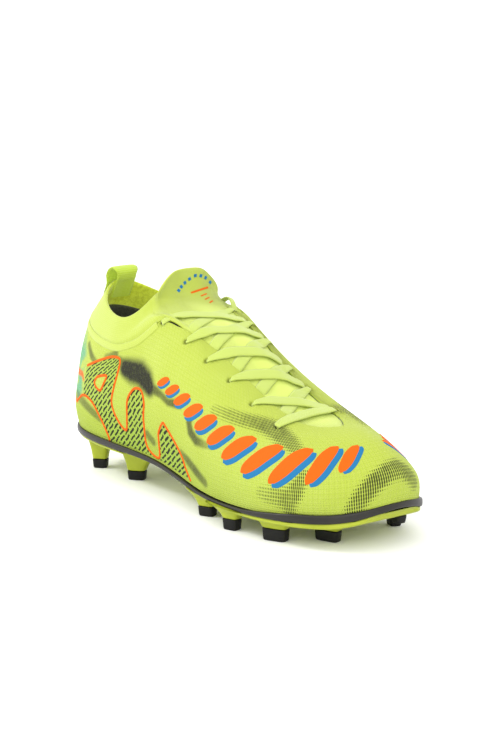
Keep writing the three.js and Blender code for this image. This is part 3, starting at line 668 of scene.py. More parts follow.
def moulded_material(name, base, deep, roughness, edge_highlight):
    """Moulded plastic with a fine sprayed texture and a painted highlight on convex edges, in patches."""
    shader = Shader(name, roughness=roughness, specular=0.3)
    fine = shader.noise(1500, 2)
    broad = shader.noise(45, 4)
    colour = shader.mix(shader.ramp(broad, 0.3, 0.75), base, deep)
    # painted highlight: convex edges, in patches, mixed towards a lighter colour
    pointed = shader.add("ShaderNodeNewGeometry", out=7)
    edge = shader.times(shader.ramp(pointed, 0.52, 0.6), shader.ramp(broad, 0.4, 0.6))
    colour = shader.mix(shader.times(edge, 0.5), colour, edge_highlight)
    rough = shader.plus(roughness - 0.08, shader.times(broad, 0.2))
    return shader.finish(colour, shader.bump(fine, 0.05 * MM, 0.6), rough)


def lining_material():
    shader = Shader("black_lining", roughness=0.92, sheen=0.4, specular=0.2)
    grain = shader.noise(900, 3)
    colour = shader.mix(shader.ramp(grain, 0.35, 0.7), rgb(94, 98, 78), rgb(66, 70, 54))
    return shader.finish(colour, shader.bump(grain, 0.25 * MM))


def board_material():
    shader = Shader("fibre_board", roughness=0.9, specular=0.2)
    fibres = shader.noise(380, 6, roughness=0.8)
    colour = shader.mix(shader.ramp(fibres, 0.35, 0.65), rgb(120, 118, 108), rgb(86, 84, 76))
    return shader.finish(colour, shader.bump(fibres, 0.2 * MM))


# ------------------------------------------------------------------ marks on the knit
def stroke_mark(points, strokes):
    """0 to 1 near soft strokes. A stroke is a list of (rib, level, radius mm, strength)."""
    flat = points.reshape(-1, 3)
    total = np.zeros(len(flat))
    for stroke in strokes:
        stroke = np.array(stroke, float)
        dense = [a + (b - a) * t for a, b in zip(stroke, stroke[1:]) for t in np.linspace(0, 1, 10)]
        for u, v, radius, strength in dense:
            place = surface(u, v)
            near = np.linalg.norm(flat - place, axis=1) / (radius * MM)
            total = np.maximum(total, strength * (1 - smoothstep(near, 0.35, 1.0)))
    return total.reshape(points.shape[:2])


def polygon_mark(spots, polygon):
    """1 inside a polygon drawn in (rib, level)."""
    u, v = spots[..., 0], spots[..., 1]
    inside = np.zeros(u.shape, bool)
    for (u1, v1), (u2, v2) in zip(polygon, polygon[1:] + polygon[:1]):
        if v1 == v2:
            continue
        crosses = (v1 > v) != (v2 > v)
        inside ^= crosses & (u < (u2 - u1) * (v - v1) / (v2 - v1) + u1)
    return inside.astype(float)


def mirrored(spots):
    """The same marks on the medial side."""
    return [(RIBS - spot[0], *spot[1:]) for spot in spots]


# Soft strokes on the lateral side, each a run of (rib, level, radius mm, strength).
SMUDGES = [
    [(2.15, 3.42, 3.0, 0.5), (2.38, 3.15, 5.5, 0.85)],
    [(2.42, 3.06, 8.5, 1.0), (2.60, 2.94, 10.5, 1.0), (2.80, 2.86, 11.0, 1.0), (2.95, 2.70, 10.5, 1.0),
     (3.05, 2.52, 8.0, 1.0)],
    [(3.15, 2.50, 4.6, 0.8), (3.32, 2.42, 3.4, 0.7), (3.48, 2.30, 3.2, 0.75), (3.66, 2.36, 3.8, 0.8),
     (3.78, 2.38, 3.0, 0.5)],
    [(4.05, 2.35, 3.0, 0.5), (3.94, 2.06, 4.0, 0.75), (3.94, 1.82, 4.4, 0.8), (4.04, 1.66, 4.4, 0.8),
     (4.22, 1.68, 3.4, 0.5), (4.38, 1.74, 2.6, 0.3)],
    [(3.60, 0.95, 3.0, 0.45), (3.75, 0.80, 4.2, 0.7), (3.95, 0.58, 4.6, 0.75), (4.15, 0.38, 4.2, 0.6)],
    [(2.86, 0.98, 4.0, 0.6), (2.96, 0.78, 4.0, 0.6)],
    [(1.20, 3.55, 3.0, 0.6), (1.42, 3.30, 3.4, 0.7), (1.62, 3.18, 3.0, 0.5)],
    [(1.80, 3.48, 3.0, 0.45), (2.02, 3.62, 3.6, 0.65)],
    [(1.10, 1.55, 4.0, 0.4), (1.45, 1.36, 4.6, 0.6), (1.72, 1.10, 4.0, 0.6), (1.88, 0.92, 3.2, 0.5)],
]
HALFTONES = [
    [(4.62, 2.78, 5.0, 0.45), (4.98, 2.86, 6.0, 0.75), (5.33, 2.92, 7.0, 0.85), (5.60, 2.98, 8.0, 0.95),
     (5.84, 2.98, 9.0, 1.0), (6.02, 2.86, 9.0, 1.0), (6.14, 2.66, 8.0, 0.9), (6.22, 2.46, 6.0, 0.8)],
    [(6.20, 1.62, 6.0, 0.8), (6.12, 1.33, 6.5, 0.85), (6.03, 1.02, 8.5, 0.9), (5.92, 0.72, 9.0, 0.9),
     (5.92, 0.35, 7.0, 0.8)],
    [(5.45, 0.80, 7.0, 0.5), (5.90, 0.72, 10.0, 0.85)],
    [(7.02, 0.25, 7.0, 0.85), (7.23, 0.75, 8.0, 0.95), (7.45, 1.12, 8.0, 1.0), (7.75, 1.36, 8.5, 1.0),
     (8.05, 1.42, 9.5, 1.0), (8.25, 1.18, 9.0, 0.95), (8.45, 0.75, 7.0, 0.8)],
    [(9.75, 3.40, 5.0, 0.8), (9.80, 3.10, 6.0, 0.9), (9.40, 2.95, 5.0, 0.6)],
]
MINT_PATCHES = [
    [(0.85, 3.30, 13, 0.9), (1.10, 2.95, 12, 1.0), (1.12, 2.50, 11, 0.8), (1.15, 2.00, 12, 1.0),
     (1.10, 1.65, 9, 0.9)],
]
ORANGE_BLOTS = [
    [(0.60, 2.30, 2.6, 0.8), (0.94, 2.37, 3.2, 0.95), (1.28, 2.45, 2.6, 0.9), (1.36, 2.30, 2.2, 0.8)],
    [(0.70, 1.20, 2.6, 0.7), (1.15, 1.27, 2.2, 0.8)],
]
# The heel pattern in (rib, level): generic peaks, then its lower back edge and a small opening.
PEAKS = [
    (1.41, 2.90), (1.70, 3.32), (1.93, 3.51), (2.14, 3.44), (2.24, 3.25), (2.27, 2.88), (2.24, 2.40),
    (2.18, 1.78), (2.25, 1.22), (2.41, 0.82), (2.48, 1.35), (2.54, 1.99), (2.65, 2.34), (2.75, 2.45),
    (2.87, 2.38), (2.91, 2.05), (2.84, 1.47), (2.80, 0.60), (2.90, 0.22), (3.05, 0.20), (3.09, 0.86),
    (3.13, 1.24), (3.27, 1.62), (3.34, 1.54), (3.49, 1.18), (3.62, 0.79), (3.68, 0.47), (3.80, 0.10),
]
PEAKS_BACK = [(1.15, 1.27), (1.42, 1.67), (1.70, 1.52), (1.90, 0.91), (2.00, 0.37), (2.03, 0.08)]
PEAKS_WINDOW = [(1.73, 2.44), (1.80, 2.71), (2.01, 2.83), (1.98, 2.49), (1.90, 2.15), (1.78, 2.27),
                (1.73, 2.44)]


def both_sides(strokes):
    return strokes + [mirrored(stroke) for stroke in strokes]


def hatch_mark(spots):
    """1 inside the heel pattern."""
    outline = [tuple(spot) for spot in path_points(PEAKS, 1.0 * MM)] + PEAKS_BACK[:0:-1]
    inside = np.zeros(spots.shape[:2])
    for turned in (outline, mirrored(outline)):
        inside = np.maximum(inside, polygon_mark(spots, turned))
    for turned in (PEAKS_WINDOW, mirrored(PEAKS_WINDOW)):
        inside = np.minimum(inside, 1 - polygon_mark(spots, turned))
    return inside


def eyelet_shade_mark(points):
    """Painted shade in the eyelet pits: 1 in the eyelets."""
    hole = np.zeros(points.shape[:2])
    for u, v in LATERAL_EYELETS + MEDIAL_EYELETS:
        away = np.linalg.norm(points - surface(u, v), axis=-1)
        hole = np.maximum(hole, 1 - smoothstep(away, 1.1 * MM, 1.9 * MM))
    return hole


def knit_marks(points, spots):
    low_side = 1 - smoothstep(spots[..., 1], 0.2, 2.4)
    rear = 1 - smoothstep(np.abs(spots[..., 0] - RIBS / 2), 2.0, 5.0)
    return {
        "smudge": stroke_mark(points, both_sides(SMUDGES)),
        "halftone": stroke_mark(points, both_sides(HALFTONES[:3]) + HALFTONES[3:]),
        "mint": stroke_mark(points, both_sides(MINT_PATCHES)),
        "glow": stroke_mark(points, both_sides(ORANGE_BLOTS)),
        "hatch": hatch_mark(spots),
        "hole": eyelet_shade_mark(points),
        "shade": low_side * (1 - 0.6 * rear),
    }


# ------------------------------------------------------------------ upper
UPPER_COLUMNS = 620
SOCK_COLUMNS = 420
SHEET_ROWS = 96
KNIT_THICKNESS = 1.6 * MM
SOCK_THICKNESS = 2.0 * MM
TAPE_WIDTH = 4.4 * MM
TAPE_HEIGHT = 0.35 * MM
# The pit of an eyelet and the welded ring round it.
PIT_DEPTH = 1.4 * MM
WELD_HEIGHT = 0.22 * MM
WELD_RADIUS = 2.8 * MM


def on_upper(t, s):
    """The (rib, level) at place t round the shoe and share s up the knit."""
    t = t % RIBS
    rib, level = read(UPPER_TOP, t)
    return t + (rib - t) * s * s, level * s


def eyelet_relief(u, v):
    """The punched eyelets: a pit with a slightly raised welded ring."""
    relief = np.zeros_like(u)
    spots = surface(u, v)
    for eyelet in LATERAL_EYELETS + MEDIAL_EYELETS:
        away = np.linalg.norm(spots - surface(*eyelet), axis=-1)
        relief -= PIT_DEPTH * (1 - smoothstep(away, 0.6 * MM, 2.0 * MM))
        relief += WELD_HEIGHT * (1 - smoothstep(np.abs(away - WELD_RADIUS), 0, 0.5 * WELD_RADIUS))
    return relief


def knit_upper():
    piece = sheet_on_last("knit_shell", on_upper, KNIT_THICKNESS, UPPER_COLUMNS, 0, RIBS,
                          SHEET_ROWS, [KNIT, KNIT_BACK], skin=eyelet_relief, closed=True,
                          marks=knit_marks, inner_slot=1)
    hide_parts("knit_upper")
    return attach(piece, "boot")


def throat_edge():
    """The knit's edge round the throat, as (rib, level)."""
    return np.stack(read(UPPER_TOP, np.linspace(3.2, 13.3, 200)), axis=-1)


def throat_gap(u, v):
    """How far inside the throat a place on the last lies, in millimetres. Negative under the knit."""
    edge = throat_edge()
    outline = [tuple(spot) for spot in edge] + [(13.2, 7.3), (3.0, 7.3)]
    inside = polygon_mark(np.stack([u, v], axis=-1), outline)
    rim = surface(edge[:, 0], edge[:, 1])
    away = np.linalg.norm(surface(u, v)[..., None, :] - rim, axis=-1).min(axis=-1) / MM
    return np.where(inside > 0, away, -away)


# Depth of the sock on the last, in millimetres outwards.
ANKLE = 0.5
BEHIND_SEAM = -0.3
OPEN_TONGUE = -1.05
COVERED_TONGUE = -2.9


def sock_skin(u, v):
    """Depth of the sock on the last: flush round the ankle, lower between the lace rows."""
    around = np.asarray(u) % RIBS
    front = smoothstep(around, 2.9, 3.5) * (1 - smoothstep(around, 12.5, 13.1))
    laced = smoothstep(around, 3.3, 4.3) * (1 - smoothstep(around, 11.9, 12.7))
    laced = laced * (1 - smoothstep(v, 5.0, 6.1))
    shown = ANKLE + (OPEN_TONGUE - ANKLE) * laced
    above_seam = smoothstep(v - read(SOCK_LOW, around)[0], 0.0, 0.35)
    in_throat = smoothstep(throat_gap(around, v), -1.8, 0.5)
    rise = (1 - front) * above_seam + front * in_throat
    buried = BEHIND_SEAM * (1 - front) + COVERED_TONGUE * front
    return (buried + (shown - buried) * rise) * MM


def sock_marks(points, spots):
    """Where painted light lightens the tongue between the lace rows, against the laces' shade."""
    u, v = spots[..., 0], spots[..., 1]
    across = smoothstep(u, 3.3, 4.3) * (1 - smoothstep(u, 11.9, 12.7))
    return {"pale": across * (1 - smoothstep(v, 5.2, 6.1)) * smoothstep(v, 3.3, 3.8)}


def on_sock(t, s):
    low = read(SOCK_LOW, t % RIBS)[0]
    return t % RIBS, low + (COLLAR_EDGE - low) * s


def sock():
    """Collar, tongue and tab: one knitted sock, as they are sewn into one."""
    piece = sheet_on_last("sock_collar_and_tongue", on_sock, SOCK_THICKNESS, SOCK_COLUMNS, 0, RIBS,
                          SHEET_ROWS, [COLLAR, COLLAR_LINING], skin=sock_skin, closed=True,
                          marks=sock_marks, inner_slot=1)
    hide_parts("ankle_collar", "tongue", "tongue_tab")
    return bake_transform(piece)


def seam_tape():
    """The flat stitched strip that covers the seam between collar and upper."""
    t = np.linspace(-2.95, 2.95, 60)
    spots = np.stack([t, read(UPPER_TOP, t % RIBS)[1] - 0.06], axis=-1)
    spots = even_points(spots, 1.5 * MM)
    piece = band_on_last("collar_seam_tape", spots, TAPE_WIDTH, TAPE_HEIGHT, COLLAR, 0.1 * MM, 8)
    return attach(piece, "boot")


# Pull loop: the strap's middle line (x, z) in millimetres from its outer sewn end.
LOOP_PATH = (
    (-120.4, 108), (-118.6, 111.2), (-116.9, 114.4), (-115.7, 117.6), (-114.6, 121.2), (-112, 124.4),
    (-108.2, 125.1), (-105.2, 122.6), (-106.2, 119), (-108.7, 115.8), (-111.3, 111.4), (-114.1, 106.2),
)
# How much the strap bends round the heel across its width: (point of the line, share).
LOOP_BEND = ((0, 1), (2.25, 0.9), (3.6, 0.25), (7.6, 0.25), (8.2, 0.5), (9.35, 1), (11, 1))
HEEL_RADIUS = 14 * MM
LOOP_WIDTH = 18 * MM
LOOP_NARROWING = 0.2          # share of its width the strap loses on its way inside
LOOP_THICKNESS = 1.4 * MM


def strap_rings(centre, side, face, width, thickness, across):
    """Rings of a flat strap with round edges, over it and back under it."""
    over = [(k, 0.5 * thickness) for k in range(across + 1)]
    under = [(k, -0.5 * thickness) for k in range(across - 1, 0, -1)]
    rings = []
    for k, half in over + under:
        s = 2 * k / across - 1
        lift = half * math.sqrt(max(1 - abs(s) ** 6, 0))
        rings.append(centre + side * (0.5 * width * s)[:, None] + face * lift)
    return np.array(rings)


def pull_loop():
    count = 90
    line = smooth_curve(LOOP_PATH, count) * MM
    centre = np.stack([line[:, 0], np.full(count, AXIS_Y), line[:, 1]], axis=-1)
    ahead = unit(np.gradient(centre, axis=0))
    side = np.tile((0.0, 1.0, 0.0), (count, 1))
    face = unit(np.cross(ahead, side))
    along = np.linspace(0, 1, count)
    width = LOOP_WIDTH * (1 - LOOP_NARROWING * smoothstep(along, 0.55, 0.7))
    rings = strap_rings(centre, side, face, width, LOOP_THICKNESS, across=14)
    share = read(LOOP_BEND, np.linspace(0, len(LOOP_PATH) - 1, count))[0]
    rings[..., 0] += share * (rings[..., 1] - AXIS_Y) ** 2 / (2 * HEEL_RADIUS)
    piece = grid_object("heel_pull_strap", rings, WEBBING, close_rows=True)
    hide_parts("pull_loop_end_outer", "heel_pull_loop", "pull_loop_end_inner")
    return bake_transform(piece)


# ------------------------------------------------------------------ lace
# Millimetres, the first four outwards from the last: over and under the knit, then mid-strand.
OVER = 0.72
UNDER = -2.2
MIDDLE_TOP = 0.52
MIDDLE_LOW = -0.5
LACE_WIDTH = 7.8
LACE_THICKNESS = 1.0
LACE_WIDTH_IN_HOLE = 2.6
CROSSING_ARCH = 6
BAR_ARCH = 5
STRAND_STOPS = 10
STEPS_PER_STOP = 7
# The slack bight: (rib, level) at its two ends, how high it stands and how wide it is.
SLACK_START = (11.75, 5.85)
SLACK_END = (10.8, 5.4)
SLACK_HEIGHT = 4.4
SLACK_WIDTH = 3.8


def lace_stop(at, normal, width):
    return {"at": np.array(at), "normal": np.array(normal), "width": width}


def strand_spot(start, end, s, arch):
    """The (rib, level) under a strand that arches over the instep from start to end."""
    a, b = surface(*start), surface(*end)
    out_of_hole = unit(b - a) * 2.0 * MM * (1 - s)
    chord = a + out_of_hole + (b - a) * s + np.array((0, 0, arch * MM)) * 4 * s * (1 - s)
    return settle(chord, start[0] + (end[0] - start[0]) * s, start[1] + (end[1] - start[1]) * s)


def crossing(start, end, middle):
    """One strand from the eyelet it lies over to the one it reaches from below."""
    stops = []
    for k in range(STRAND_STOPS + 1):
        s = k / STRAND_STOPS
        u, v = strand_spot(start, end, s, CROSSING_ARCH)
        gap = throat_gap(u, v)
        if s < 0.5:
            depth = OVER + (middle - OVER) * smoothstep(gap, 0, 5)
        else:
            depth = UNDER + (middle - UNDER) * smoothstep(gap, -2.2, 0.2)
        width = LACE_WIDTH * (0.42 + 0.58 * smoothstep(min(s, 1 - s), 0.0, 0.2))
        stops.append(lace_stop(last_point(u, v, depth * MM), outward(u, v), width))
    return stops


def through_eyelet(eyelet, before, after):
    """The stop inside an eyelet, where the lace is drawn together."""
    normal = outward(*eyelet)
    leaving = after["at"] - surface(*eyelet)
    leaving = unit(leaving - normal * leaving.dot(normal))
    at = last_point(*eyelet, 0.5 * (OVER + UNDER) * MM) + leaving * 0.9 * MM
    return lace_stop(at, 0.5 * (before["normal"] + after["normal"]), LACE_WIDTH_IN_HOLE)


def tucked_end(eyelet, away, first):
    """The lace's end under the knit. away is its (rib, level) from the eyelet."""
    turn = through_eyelet(eyelet, first[1], first[0])
    inside = []
    for part in (1, 0.5):
        u, v = eyelet[0] + away[0] * part, eyelet[1] + away[1] * part
        inside.append(lace_stop(last_point(u, v, (UNDER - 0.6) * MM), outward(u, v), LACE_WIDTH * 0.6))
    return inside + [turn]


def lace_half(first):
    """Half of the lace, from the top row on its first side down to the last eyelets."""
    spots = []
    for row in range(6):
        lateral = (row % 2 == 0) == (first == "lateral")
        eyelet = LATERAL_EYELETS[row] if lateral else MEDIAL_EYELETS[row]
        spots.append((eyelet, MIDDLE_TOP if lateral else MIDDLE_LOW))
    strands = [crossing(spots[k][0], spots[k + 1][0], spots[k][1]) for k in range(5)]
    route = list(strands[0])
    for k in range(1, 5):
        route.append(through_eyelet(spots[k][0], strands[k - 1][-2], strands[k][1]))
        route += strands[k]
    away = (-0.1, -0.45) if first == "lateral" else (0.8, -0.25)
    return tucked_end(spots[0][0], away, route) + route


def front_bar(start, end):
    """The straight strand across the toe end of the throat."""
    stops = []
    for k in range(8):
        u, v = strand_spot(start, end, k / 7, BAR_ARCH)
        width = LACE_WIDTH * (0.55 + 0.45 * smoothstep(min(k, 7 - k), 0, 1.5))
        stops.append(lace_stop(last_point(u, v, OVER * MM), outward(u, v), width))
    return stops


def lace_route():
    lateral = lace_half("lateral")
    medial = lace_half("medial")
    bar = front_bar(MEDIAL_EYELETS[5], LATERAL_EYELETS[5])
    turn_in = through_eyelet(MEDIAL_EYELETS[5], lateral[-2], bar[1])
    turn_out = through_eyelet(LATERAL_EYELETS[5], medial[-2], bar[-2])
    return lateral + [turn_in] + bar + [turn_out] + medial[::-1]


def lace():
    route = lace_route()
    count = (len(route) - 1) * STEPS_PER_STOP + 1
    places = np.array([stop["at"] for stop in route])
    normals = np.array([stop["normal"] for stop in route])
    widths = np.array([stop["width"] for stop in route]) * MM
    centre = centripetal(places, STEPS_PER_STOP)
    at = np.arange(count) / STEPS_PER_STOP
    ahead = unit(np.gradient(centre, axis=0))
    k = np.minimum(at.astype(int), len(route) - 2)
    part = (at - k)[:, None]
    normal = normals[k] * (1 - part) + normals[k + 1] * part
    side = np.cross(normal, ahead)
    previous = None
    for row in range(count):
        here = side[row]
        if previous is not None and np.linalg.norm(here) < 0.35:
            here = previous.copy()
        here = unit(here - ahead[row] * here.dot(ahead[row]))
        if previous is not None and here.dot(previous) < 0:
            here = -here
        side[row] = here
        previous = here
    face = unit(np.cross(ahead, side))
    width = np.interp(at, range(len(route)), widths)
    rings = strap_rings(centre, side, face, width, LACE_THICKNESS * MM, across=10)
    piece = grid_object("woven_lace", rings, LACE, close_rows=True)
    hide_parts("lace")
    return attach(piece, "boot")


def slack_lace():
    """The small bight of lace left standing at the medial end of the top row."""
    count = 40
    s = np.linspace(0, 1, count)
    u = np.linspace(SLACK_START[0], SLACK_END[0], count)
    v = np.linspace(SLACK_START[1], SLACK_END[1], count)
    height = (-0.6 + SLACK_HEIGHT * np.sin(math.pi * s) ** 0.8) * MM
    centre = last_point(u, v, height)
    ahead = unit(np.gradient(centre, axis=0))
    side = unit(np.cross(outward(u, v), ahead))
    face = unit(np.cross(ahead, side))
    rings = strap_rings(centre, side, face, np.full(count, SLACK_WIDTH * MM), 1.1 * MM, across=8)
    piece = grid_object("lace_slack_bight", rings, LACE, close_rows=True)
    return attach(piece, "boot")


def centripetal(points, per_span):
    """Centripetal Catmull-Rom curve through points."""
    padded = with_ends(points)
    made = []
    for k in range(len(points) - 1):
        p0, p1, p2, p3 = padded[k:k + 4]
        gaps = [max(np.linalg.norm(b - a) ** 0.5, 1e-4) for a, b in ((p0, p1), (p1, p2), (p2, p3))]
        m1 = p2 - p1 + gaps[1] * ((p1 - p0) / gaps[0] - (p2 - p0) / (gaps[0] + gaps[1]))
        m2 = p2 - p1 + gaps[1] * ((p3 - p2) / gaps[2] - (p3 - p1) / (gaps[1] + gaps[2]))
        for t in np.arange(per_span) / per_span:
            made.append((2 * t ** 3 - 3 * t ** 2 + 1) * p1 + (t ** 3 - 2 * t ** 2 + t) * m1
                        + (-2 * t ** 3 + 3 * t ** 2) * p2 + (t ** 3 - t ** 2) * m2)
    made.append(points[-1])
    return np.array(made)


# ------------------------------------------------------------------ inside
# Heights in the shoe, in millimetres.
PLATE_TOP = 2.2
BOARD_THICKNESS = 1.7
SOCKLINER_GAP = 1.05
SOCKLINER_THICKNESS = 3.6
HEEL_CUP = 3.5
LINING_THICKNESS = 1.9
LINING_FOOT = 0.75            # level of the heel lining's lower edge, then its top edge by rib
LINING_TOP = (
    (-2.9, 3.9), (-2.5, 4.7), (-2, 5.2), (-1, 5.3), (0, 5.35), (1, 5.3), (2, 5.2), (2.5, 4.7), (2.9, 3.9),
)


def heel_lining():
    """Black padded lining inside the heel, under the collar, a little fuller mid-height."""
    def place(t, s):
        top = read(LINING_TOP, t)[0]
        return t, LINING_FOOT + (top - LINING_FOOT) * s

    def skin(u, v):
        return (-2.55 + 0.25 * np.sin((v - LINING_FOOT) / 3.6 * math.pi)) * MM

    piece = sheet_on_last("heel_lining_pad", place, LINING_THICKNESS * MM, 160, -2.9, 2.9, 40,
                          LINING, skin=skin)
    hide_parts("heel_lining")
    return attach(piece, "boot")


def sole_loop(inset, rise, columns=256):
    """The plate's outline moved inwards by inset mm and up by rise, in metres or as a function."""
    u = RIBS * (np.arange(columns) + 0.5) / columns
    height = rise(u) if callable(rise) else rise
    return sole_edge(u, inset * MM, height)


def cap_loop(count, faces, first, flip):
    """Adds strips across a closed loop of count points numbered from first."""
    for k in range(count // 2 - 1):
        far = count - 1 - k
        quad = [first + k, first + k + 1, first + far - 1, first + far]
        faces.append(quad[::-1] if flip else quad)


def capped_rings(name, rings, material):
    """A closed body from loops of equal length, capped by strips across the first and last."""
    rings = np.array(rings)
    rows, columns = rings.shape[:2]
    faces = grid_faces(rows, columns, close_columns=True).tolist()
    cap_loop(columns, faces, 0, True)
    cap_loop(columns, faces, (rows - 1) * columns, False)
    piece = new_object(name, rings, faces, material)
    made = bmesh.new()
    made.from_mesh(piece.data)
    bmesh.ops.recalc_face_normals(made, faces=made.faces)
    made.to_mesh(piece.data)
    made.free()
    return piece


def sockliner():
    low = (PLATE_TOP + BOARD_THICKNESS + SOCKLINER_GAP) * MM
    high = low + SOCKLINER_THICKNESS * MM

    def heel_cup(u):
        return high + HEEL_CUP * MM * smoothstep(np.abs(u - RIBS / 2), 4.5, 7)

    loops = [(13, low), (9, low), (7.6, low + 0.4 * MM), (7.2, high - 1.4 * MM), (7.4, high - 0.4 * MM),
             (8.0, heel_cup), (8.6, heel_cup), (11, high), (15, high)]
    piece = capped_rings("sockliner_foam", [sole_loop(i, r) for i, r in loops], LINING)
    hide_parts("sockliner")
    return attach(piece, "boot")


# ------------------------------------------------------------------ sole
def rim_share(share):
    return lambda u: rim_height(u) * share


def sole_plate():
    top = PLATE_TOP * MM
    loops = [(9, top), (3.4, top), (2.4, rim_share(0.8)), (1.9, rim_height), (1.4, rim_height),
             (0.75, rim_height), (0.35, rim_share(0.95)), (0.1, rim_share(0.82)),
             (0.0, rim_share(0.6)), (0.0, rim_share(0.35)),
             (0.12, 0.7 * MM), (0.4, 0.25 * MM), (0.9, 0.0), (2.4, 0.0), (9, 0.0)]
    rings = [sole_loop(i, r) for i, r in loops]
    piece = capped_rings("outsole_plate", rings, [PLATE, LIME_PLASTIC])
    columns = rings[0].shape[0]
    underside = np.zeros(len(piece.data.polygons), np.int32)
    underside[(len(loops) - 2) * columns:(len(loops) - 1) * columns] = 1
    underside[-(columns // 2 - 1):] = 1
    piece.data.polygons.foreach_set("material_index", underside)
    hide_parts("sole_plate")
    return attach(piece, "boot")


# Studs: name, centre, size of the tip, its height and how far it clears the ground, turn in
# degrees, then how far the root's web runs back and forward under the plate. Millimetres.
STUDS = (
    ("heel_lateral_rear", -116, -11.2, 8.6, 7.4, 5.6, 0, 40, 0, 8),
    ("heel_lateral_front", -77, -12, 10.4, 7.6, 5.6, 0, 36, 5, 26),
    ("heel_medial_rear", -114, 16, 7.6, 7.4, 5.4, 0, -40, 2, 5),
    ("heel_medial_front", -74, 19, 9.6, 7.6, 5.6, 0, -36, 5, 26),
    ("lateral_1", 15.5, -31, 9.2, 7.4, 5.6, 0, 22, 5, 7),
    ("lateral_2", 47, -39, 9, 6.8, 6.2, 0, 14, 10, 9),
    ("lateral_3", 79, -34.5, 13.8, 7.4, 6.8, 0, 22, 11, 10),
    ("lateral_4", 97.5, -13, 14, 7, 6, 0, 16, 11, 10),
    ("medial_1", 8, 29, 8.6, 7, 5.6, 0, -22, 10, 8),
    ("medial_2", 43, 36, 9, 6.6, 6.2, 0, -14, 10, 9),
    ("medial_3", 97.5, 36, 8.4, 6.6, 5.8, 0, -20, 9, 6),
    ("toe", 121.5, 16.5, 6.4, 6.0, 4.4, 9.8, 0, 5, 0),
)


# The root's outline against the tip's: (share of the way down, scale).
ROOT_PROFILE = (
    (0, 1.85), (0.12, 1.74), (0.24, 1.6), (0.36, 1.46), (0.5, 1.33), (0.65, 1.22), (0.8, 1.14), (1, 1.08),
)
# The tip from its top down: (height from its top, growth), then (height from its foot, growth).
TIP_UPPER = ((0, -0.9), (0, 0.25), (-0.15, 0.6), (-0.5, 0.72), (-0.9, 0.66))
TIP_LOWER = ((1.2, 0.0), (0.5, -0.25), (0.15, -0.7), (0, -1.5), (0, -3.2))
HEEL_LEAN = 0.08              # how far a root spreads inwards, for each mm of its drop
FOREFOOT_LEAN = 0.22
RING_POINTS = 40
SQUARENESS = 0.45             # 1 would be an ellipse, 0 a rectangle


def rounded_ring(x, y, z, long, wide, turn, back=0, forward=0):
    """A ring with round corners, turned about its centre and drawn out back and forward."""
    angle = 2 * math.pi * (np.arange(RING_POINTS) + 0.5) / RING_POINTS
    c, s = np.cos(angle), np.sin(angle)
    across = 0.5 * long * np.sign(c) * np.abs(c) ** SQUARENESS
    deep = 0.5 * wide * np.sign(s) * np.abs(s) ** SQUARENESS
    turn = math.radians(turn)
    reach = np.where(c > 0, forward * np.abs(c), -back * np.abs(c))
    return np.stack([
        x + across * math.cos(turn) - deep * math.sin(turn) + reach,
        y + across * math.sin(turn) + deep * math.cos(turn),
        np.full(RING_POINTS, z),
    ], axis=-1) * MM


def stud_root(stud):
    _, x, y, long, wide, tip, lift, turn, back, forward = stud
    top = float(sole_height(x * MM)) / MM + 1.5
    bottom = lift + tip + 0.2
    drop = top - bottom
    lean = (HEEL_LEAN if x < 0 else FOREFOOT_LEAN) * drop * (-1 if y * MM < AXIS_Y else 1)
    rings = []
    for part, scale in ROOT_PROFILE:
        web = (1 - part) ** 1.7
        rings.append(rounded_ring(x, y + lean * (1 - part) ** 1.5, top - drop * part, long * scale,
                                  wide * scale, turn * part, back * web, forward * web))
    return rings


# How deep the lime slab shows under the rim: (rib, mm). It thins just before the toe stud.
SLAB_DEPTH = (
    (0, 2.0), (2.4, 2.0), (3.85, 0.8), (4.4, 2.2), (5.6, 2.8), (6.6, 3.5), (7.3, 3.2), (7.36, 1.1),
    (7.8, 0.9),
)
# The slab's side, from inside the rim down: (mm inwards, share of the depth).
SLAB_SIDE = ((1.15, 0.1), (1.0, 0.4), (1.3, 0.75), (2.6, 1.0))
VOXEL = 0.55 * MM             # grain of the shell that joins slab and roots


def frame_slab(start, stop):
    """Sections of the lime slab across the shoe, from rib start to rib stop."""
    rings = []
    for u in np.linspace(start, stop, 130):
        depth = read(SLAB_DEPTH, u)[0]
        side = [(1.6, 0.3)] + [(inset, -share * depth) for inset, share in SLAB_SIDE]
        lateral = [sole_edge(u, inset * MM, rise * MM) for inset, rise in side]
        medial = [sole_edge(RIBS - u, inset * MM, rise * MM) for inset, rise in side[::-1]]
        rings.append(lateral + medial)
    return rings


def stud_frame(name, node, start, stop, studs):
    """A lime slab and the studs' roots, grown into one moulding."""
    parts = [capped_rings(f"{name}_slab", frame_slab(start, stop), LIME_PLASTIC)]
    parts += [capped_rings(f"{name}_{stud[0]}", stud_root(stud), LIME_PLASTIC) for stud in studs]
    piece = joined(name, parts)
    remesh = piece.modifiers.new("remesh", "REMESH")
    remesh.mode = "VOXEL"
    remesh.voxel_size = VOXEL
    smooth = piece.modifiers.new("smooth", "SMOOTH")
    smooth.iterations = 9
    smooth.factor = 0.6
    final = bpy.data.meshes.new_from_object(piece.evaluated_get(bpy.context.evaluated_depsgraph_get()))
    piece.modifiers.clear()
    piece.data = final
    points = np.array([v.co for v in final.vertices])
    ceiling = sole_height(points[:, 0]) - 0.15 * MM
    points[:, 2] = np.minimum(points[:, 2], ceiling)
    final.vertices.foreach_set("co", points.ravel())
    final.materials.clear()
    final.materials.append(LIME_PLASTIC)
    final.shade_smooth()
    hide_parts(node)
    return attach(piece, "boot")


def stud_tip(stud):
    name, x, y, long, wide, tip, lift, turn = stud[:8]
    top = lift + tip
    rows = [(top + z, grow) for z, grow in TIP_UPPER] + [(lift + z, grow) for z, grow in TIP_LOWER]
    rings = [rounded_ring(x, y, z, long + grow, wide + grow, turn) for z, grow in rows]
    piece = capped_rings(f"stud_cap_{name}", rings, STUD_TIP)
    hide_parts(f"stud_tip_{name}")
    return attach(piece, "boot")


